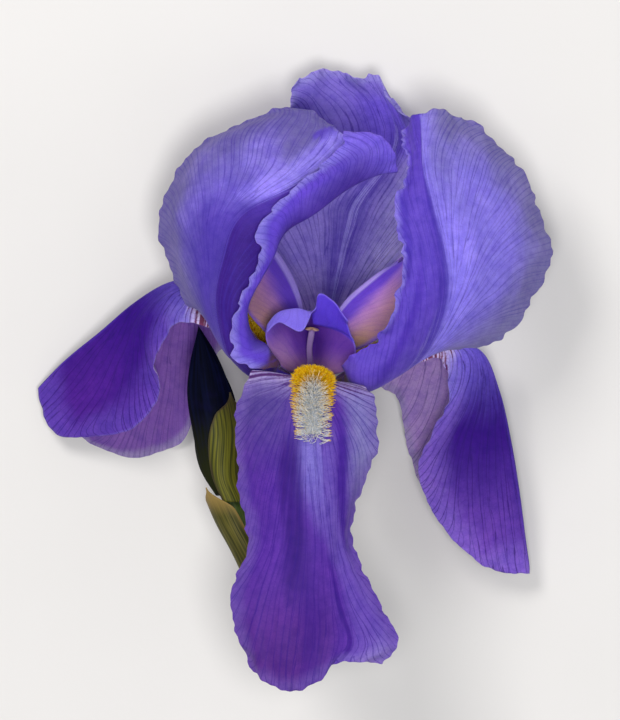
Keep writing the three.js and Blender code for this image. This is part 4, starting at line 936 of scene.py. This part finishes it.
# ---- the style arms with their crests, and the stamens ----
front_style_finish = petal_finish("front_style_skin", "#5e3494", [
    (lambda f: f.across.fall(-0.7, -0.3) * f.along.fall(0.3, 0.7), "#8a6498"),
    (lambda f: f.along.fall(0.1, 0.42), "#8a6086"),
    (lambda f: f.along.rise(0.45, 0.62) * both(f).rise(0.5, 1.0) * 0.7, "#6a4cb0"),
    (lambda f: both(f).fall(0.06, 0.5) * f.along.rise(0.15, 0.35) * 0.9, "#3a1370"),
    (lambda f: (f.along + f.across * 0.12).rise(0.60, 0.64) * f.across.rise(0.0, 0.04), "#4e34b8"),
    (lambda f: f.along.rise(0.68, 0.8) * f.across.fall(-0.04, 0.02), "#7a69d2"),
    # Painted highlight: a soft light lining along the arm's margins.
    (lambda f: rim(0.5)(f) * 0.4, "#8474d4"),
], "#3c2090", strength=0.14, apart=1.1, brushed=0.1, mottled=0.3)

side_style_finish = petal_finish("side_style_skin", "#a272b6", [
    (lambda f: f.across.fall(-0.75, -0.3), "#a87c90"),
    (lambda f: f.across.fall(-0.85, -0.5) * f.along.fall(0.3, 0.55) * 0.8, "#a8805e"),
    # Painted shade: a darker blue-violet band along the ridge's shaded side.
    (lambda f: band(f.across, -0.2, 0.06, 0.2) * 0.9, "#5636bc"),
    (lambda f: band(f.across, 0.02, 0.13, 0.06), "#a08cdc"),
    (lambda f: f.across.fall(-0.99, -0.9) * 0.7, "#6a4cc0"),
    (lambda f: f.across.rise(0.25, 0.5), "#7a54b6"),
    (lambda f: f.along.rise(0.75, 0.95) * 0.5, "#6c50c8"),
], "#54348f", strength=0.14, apart=1.0, brushed=0.1, mottled=0.3)

STYLE_SHAPE = dict(ruffle=(0, 0, 0, 0, 0), frill=0.1, notch=0.25, swell=0.04, counts=(56, 80),
                   per_side=12, blade=0.25, frill_from=0.7, rib_swell=0.4, bend=1.6,
                   flare=(0.6, 0.6))


def crest_step(u, v):
    """The right crest stands a little over the arm's underside."""
    return 0.5 * eased(v + (u - 0.5) * 0.12, 0.59, 0.64) * eased(u, 0.48, 0.54)


for node, rows, finish, shape in (
        ("style_arm_front", STYLE_FRONT, front_style_finish,
         dict(upper=-1, seed=31, relief=crest_step)),
        ("style_arm_left", STYLE_LEFT, side_style_finish, dict(upper=1, seed=33)),
        ("style_arm_right", STYLE_RIGHT, side_style_finish, dict(upper=-1, seed=35))):
    kept(petal(node + "_petal", rows, **{**STYLE_SHAPE, **shape}), [node], finish)

STAMENS = {
    "stamen_front": [[4.6, 0.2, 5.2, 0.7], [4.1, 2.4, 8.8, 0.9], [3.6, 7.0, 12.0, 0.9],
                     [4.1, 11.0, 14.4, 1.1], [4.3, 12.6, 15.2, 0.8]],
    "stamen_left": [[1.4, 0.8, -1.7, 0.6], [-1.3, 6.6, -2.6, 0.7], [-4.6, 12.4, -4.0, 0.7],
                    [-7.8, 18.0, -5.6, 0.9], [-9.0, 19.8, -6.4, 0.7]],
    "stamen_right": [[8.6, 0.8, -1.6, 0.6], [11.2, 5.6, -2.4, 0.6], [14.4, 10.4, -4.0, 0.7],
                     [18.0, 14.8, -5.8, 0.9], [19.2, 16.0, -6.6, 0.7]],
}


def stamen_finish():
    f = Finish("stamen_skin")
    s, _, _ = f.parts("round")
    colour = f.mix(s.rise(0.86, 0.95), "#6f558c", "#80604a")
    colour = f.mix(f.cloud(0.8) * s.fall(0.8, 0.9) * 0.4, colour, "#9d86b4")
    colour = f.mix(s.fall(0.3, 0.8) * 0.6, colour, "#5c3c74")
    return f.skin(colour, f.cloud(0.5) * 0.2 + 0.45, f.cloud(0.3, 3.0), 0.05,
                  Subsurface_Weight=0.3, Subsurface_Radius=(1.0, 0.7, 0.8), Subsurface_Scale=0.0006)


def stamen_relief(s, turn):
    """A flat filament that narrows, and ends in two small lobes."""
    lobes = np.sin(np.pi * np.clip((s - 0.84) / 0.16, 0, 1))
    filament = -0.4 * np.sin(turn) ** 2 - 0.4 * s
    return filament + lobes * (1.5 * np.cos(turn) ** 2 - 0.1)


stamen_skin = stamen_finish()
for node, stations in STAMENS.items():
    kept(round_body(node + "_body", stations, 40, 20, stamen_relief), [node], stamen_skin)


# ---- tube, ovary, stem, spathes and bud ----
def striped_finish(name, ground, light, dark, ribs, bloom, bloom_amount=0.25):
    """Plant skin with fine lengthwise ribs and a dull waxy bloom."""
    f = Finish(name)
    s, cosine, sine = f.parts("round")
    turn = f.maths("ARCTAN2", sine, cosine)
    stripe = f.cloud(1.0, 2.0, f.at(cosine * ribs, sine * ribs, s * 2.0))
    colour = f.mix(stripe.rise(0.3, 0.7), ground, light)
    colour = f.mix(f.cloud(3.5, 3.0).rise(0.45, 0.8) * 0.55, colour, dark)
    colour = f.mix(f.cloud(6.0, 2.0).rise(0.4, 0.75) * bloom_amount, colour, bloom)
    ridge = f.maths("SINE", turn * (2.0 * ribs))
    return f.skin(colour, f.cloud(2.0) * 0.25 + 0.45, ridge * 0.3 + f.cloud(0.25, 2.0) * 0.4, 0.08,
                  Subsurface_Weight=0.12, Subsurface_Radius=(0.6, 1.0, 0.3), Subsurface_Scale=0.0008,
                  Specular_IOR_Level=0.2)


def leaf_finish(name, ground, light, dark, margin, dry_tip):
    """A sheath's skin: stripes along it, a thin dry margin, and a tip dried by this share."""
    f = Finish(name)
    run, _, edge = f.parts("flow")
    _, s, _ = f.parts("place")
    stripe = f.cloud(1.0, 2.0, f.at(run * 1.9, s * 1.4))
    colour = f.mix(stripe.rise(0.35, 0.65), ground, light)
    colour = f.mix(f.cloud(1.0, 1.0, f.at(run * 3.1, s * 1.1, 5.0)).rise(0.45, 0.8) * 0.5, colour, dark)
    colour = f.mix(edge.fall(0.0, 1.0) * (0.5 + 0.6 * f.cloud(2.5)), colour, margin)
    colour = f.mix(s.rise(0.7, 0.95) * dry_tip, colour, margin)
    return f.skin(colour, f.cloud(2.0) * 0.25 + 0.45, stripe * 0.6 + f.cloud(0.3) * 0.3, 0.12,
                  Subsurface_Weight=0.15, Subsurface_Radius=(0.7, 1.0, 0.3),
                  Subsurface_Scale=0.0008, Specular_IOR_Level=0.15)


AXIS_X = 5
TUBE = [[AXIS_X, -16.0, 0, 2.4], [AXIS_X, -10.0, 0, 2.6], [AXIS_X, -6.0, 0, 3.6],
        [AXIS_X, -3.7, 0, 5.2]]
OVARY = [[5.4, -33.7, -0.4, 2.8], [5.2, -28.0, -0.2, 3.9], [5.0, -22.0, 0, 3.9],
         [AXIS_X, -16.4, 0, 2.7]]
STEM = [[9.2, -69.4, -2.4, 3.2], [8.8, -62.0, -2.1, 3.2], [7.4, -50.0, -1.4, 3.0],
        [5.6, -34.4, -0.4, 2.8]]
BRANCH = [[8.6, -65.2, -2.4, 2.6], [1.0, -60.0, -3.4, 2.6], [-7.6, -52.0, -5.0, 2.6],
          [-13.0, -40.0, -7.0, 2.8], [-16.4, -30.4, -8.6, 3.2]]
BUD = [[-17.2, -28.6, -9.0, 2.8], [-19.4, -21.0, -10.4, 4.8], [-20.3, -11.0, -11.8, 6.0],
       [-21.6, -3.0, -13.0, 5.6], [-22.8, 5.0, -14.4, 3.4], [-24.2, 13.0, -15.6, 0.02]]

tube_skin = striped_finish("tube_skin", "#7d8f4e", "#93a05e", "#5b4a6e", 6, "#8a7aa6", 0.5)
ovary_skin = striped_finish("ovary_skin", "#5f7f35", "#78964a", "#3f5a22", 6, "#9fb08a")
stem_skin = striped_finish("stem_skin", "#30401a", "#425420", "#202e0e", 9, "#566646", 0.3)


def ovary_relief(s, turn):
    return 0.09 * np.cos(3 * turn) + 0.012 * np.cos(6 * turn)


def stem_relief(s, turn):
    return 0.012 * np.cos(14 * turn) + 0.01 * np.sin(9 * s * TURN / 3)


for name, node, stations, steps, sides, relief, slot, finish in (
        ("perianth_tube_body", "perianth_tube", TUBE, 24, 48, stem_relief, "tube_skin", tube_skin),
        ("ovary_body", "ovary", OVARY, 40, 48, ovary_relief, "ovary_skin", ovary_skin),
        ("stem_body", "stem", STEM, 70, 56, stem_relief, "stem_skin", stem_skin),
        ("branch_body", "stem", BRANCH, 70, 56, stem_relief, "stem_skin", stem_skin)):
    kept(round_body(name, stations, steps, sides, relief), [node], finish)

SPATHE_INNER = [[7.0, -46.5, -1.2, 3.8], [5.6, -36.0, -0.4, 5.0], [5.0, -24.0, 0, 5.6],
                [5.0, -11.0, 0, 4.6]]
SPATHE_OUTER = [[7.9, -54.5, -1.7, 3.9], [6.9, -46.0, -1.1, 5.5], [5.9, -38.0, -0.4, 6.3],
                [5.0, -24.0, 0, 7.0], [5.4, -8.0, 0, 5.8]]
BUD_SPATHE = [[-15.6, -31.0, -8.0, 4.2], [-18.6, -24.0, -9.6, 5.0], [-20.0, -13.0, -11.2, 7.0],
              [-21.5, -3.6, -12.6, 7.1]]
DRY_BRACT = [[-9.4, -48.4, -5.5, 4.0], [-12.0, -42.4, -6.6, 4.4], [-14.8, -36.0, -7.8, 5.0],
             [-17.2, -27.4, -9.2, 6.5]]
spathe_skin = leaf_finish("spathe_skin", "#2c300e", "#666418", "#1a1d0a", "#3a3020", 0.6)
dry_skin = leaf_finish("dry_bract_skin", "#303212", "#5c5622", "#241e0c", "#8c7440", 0.95)
for node, stations, turns, grid, narrowing, slot, finish in (
        ("spathe_inner", SPATHE_INNER, (2.3, 5.6), (48, 60), 0.7, "spathe_leaf", spathe_skin),
        ("spathe_outer", SPATHE_OUTER, (-0.9, 2.5), (48, 60), 0.8, "spathe_leaf", spathe_skin),
        ("bud_spathe", BUD_SPATHE, (-0.55, 2.2), (48, 60), 0.9, "spathe_leaf", spathe_skin),
        ("bud_bract_dry", DRY_BRACT, (-2.4, 0.6), (48, 50), 0.6, "dry_bract", dry_skin)):
    kept(sheath(node + "_leaf", stations, turns, grid, narrowing), [node], finish)


def furled(s, turn):
    """Three petals wound round each other: each one's edge stands over the next."""
    wound = (3 * turn / TURN + 1.5 * s) % 1.0
    step = wound - eased(wound, 0.86, 1.0) * wound
    return (0.09 * step - 0.06) * eased(s, 0.05, 0.3) * (1 - eased(s, 0.93, 1.0))


def bud_finish():
    f = Finish("bud_skin")
    s, cosine, sine = f.parts("round")
    stripe = f.cloud(1.0, 2.0, f.at(cosine * 5.0, sine * 5.0, s * 1.6))
    colour = f.mix(stripe.rise(0.3, 0.7), "#02030c", "#060a24")
    colour = f.mix(s.fall(0.1, 0.5) * 0.8, colour, "#23260c")
    colour = f.mix(f.cloud(5.0).rise(0.5, 0.8) * 0.4, colour, "#0e0a2e")
    return f.skin(colour, f.cloud(1.5) * 0.25 + 0.6, stripe * 0.6 + f.cloud(0.3) * 0.3, 0.1,
                  Specular_IOR_Level=0.03)


kept(round_body("bud_body", BUD, 90, 96, furled), ["bud"], bud_finish())


# ---- the floor, the lights and the camera ----
def floor_round_the_flower():
    """A broad round board with a soft fall at its rim, its top at the height of the frame."""
    f = Finish("pale_floor")
    board = f.mix(f.cloud(60.0, 3.0) * 0.3, "#d3d1ce", "#c9c7c4")
    finish = f.skin(board, f.cloud(20.0) * 0.1 + 0.6, f.cloud(1.5), 0.02)
    sides, radius = 96, 6000.0
    turns = np.arange(sides) * TURN / sides
    rings = [(radius, 0.0), (radius + 40, -10.0), (radius + 40, -40.0), (radius, -50.0)]
    points = [[r * math.cos(t), r * math.sin(t), z - 0.02] for r, z in rings for t in turns]
    faces = [list(range(sides)), list(range(4 * sides - 1, 3 * sides - 1, -1))]
    for k in range(3):
        low, high = (k + 1) * sides, k * sides
        faces += [[low + i, low + (i + 1) % sides, high + (i + 1) % sides, high + i]
                  for i in range(sides)]
    board = new_mesh("floor", np.array(points), faces)
    board.data.polygons.foreach_set("use_smooth", np.zeros(len(board.data.polygons), bool))
    board.data.materials.append(finish)


def soft_light(name, place, aim, size, power, shade=(1, 1, 1)):
    lamp = bpy.data.lights.new(name, "AREA")
    lamp.shape, lamp.size, lamp.energy, lamp.color = "DISK", size, power, shade
    light = bpy.data.objects.new(name, lamp)
    light.location = place
    light.rotation_euler = (Vector(place) - Vector(aim)).to_track_quat("Z", "Y").to_euler()
    bpy.context.collection.objects.link(light)


floor_round_the_flower()
MIDDLE = (0.004, 0.005, 0.035)
soft_light("key_light", (-0.35, 0.45, 0.9), MIDDLE, 0.4, 5.5, (1.0, 0.98, 0.97))
soft_light("front_light", (0.06, -0.12, 1.3), MIDDLE, 0.3, 9.0)
soft_light("side_light", (0.8, -0.1, 0.5), MIDDLE, 0.6, 1.0, (0.95, 0.97, 1.0))

world = bpy.data.worlds.new("studio")
world.use_nodes = True
world.node_tree.nodes["Background"].inputs["Color"].default_value = (0.95, 0.96, 1.0, 1)
world.node_tree.nodes["Background"].inputs["Strength"].default_value = 0.42
bpy.context.scene.world = world

VIEW_CENTRE = (0.00415, 0.0046)       # the point under the middle of the photograph
VIEW_HEIGHT = 0.180                   # metres of the flower that the frame's height takes in
VIEW_LEVEL = 0.038                    # the height above the floor at which that holds
DISTANCE = 4.0
SENSOR = 36.0
camera_data = bpy.data.cameras.new("camera")
camera_data.sensor_width = SENSOR
camera_data.lens = SENSOR * DISTANCE / VIEW_HEIGHT
camera_data.clip_start, camera_data.clip_end = 0.5, 60.0
camera = bpy.data.objects.new("camera", camera_data)
camera.location = (*VIEW_CENTRE, VIEW_LEVEL + DISTANCE)
bpy.context.collection.objects.link(camera)
bpy.context.scene.camera = camera
bpy.context.scene.view_settings.view_transform = "Standard"
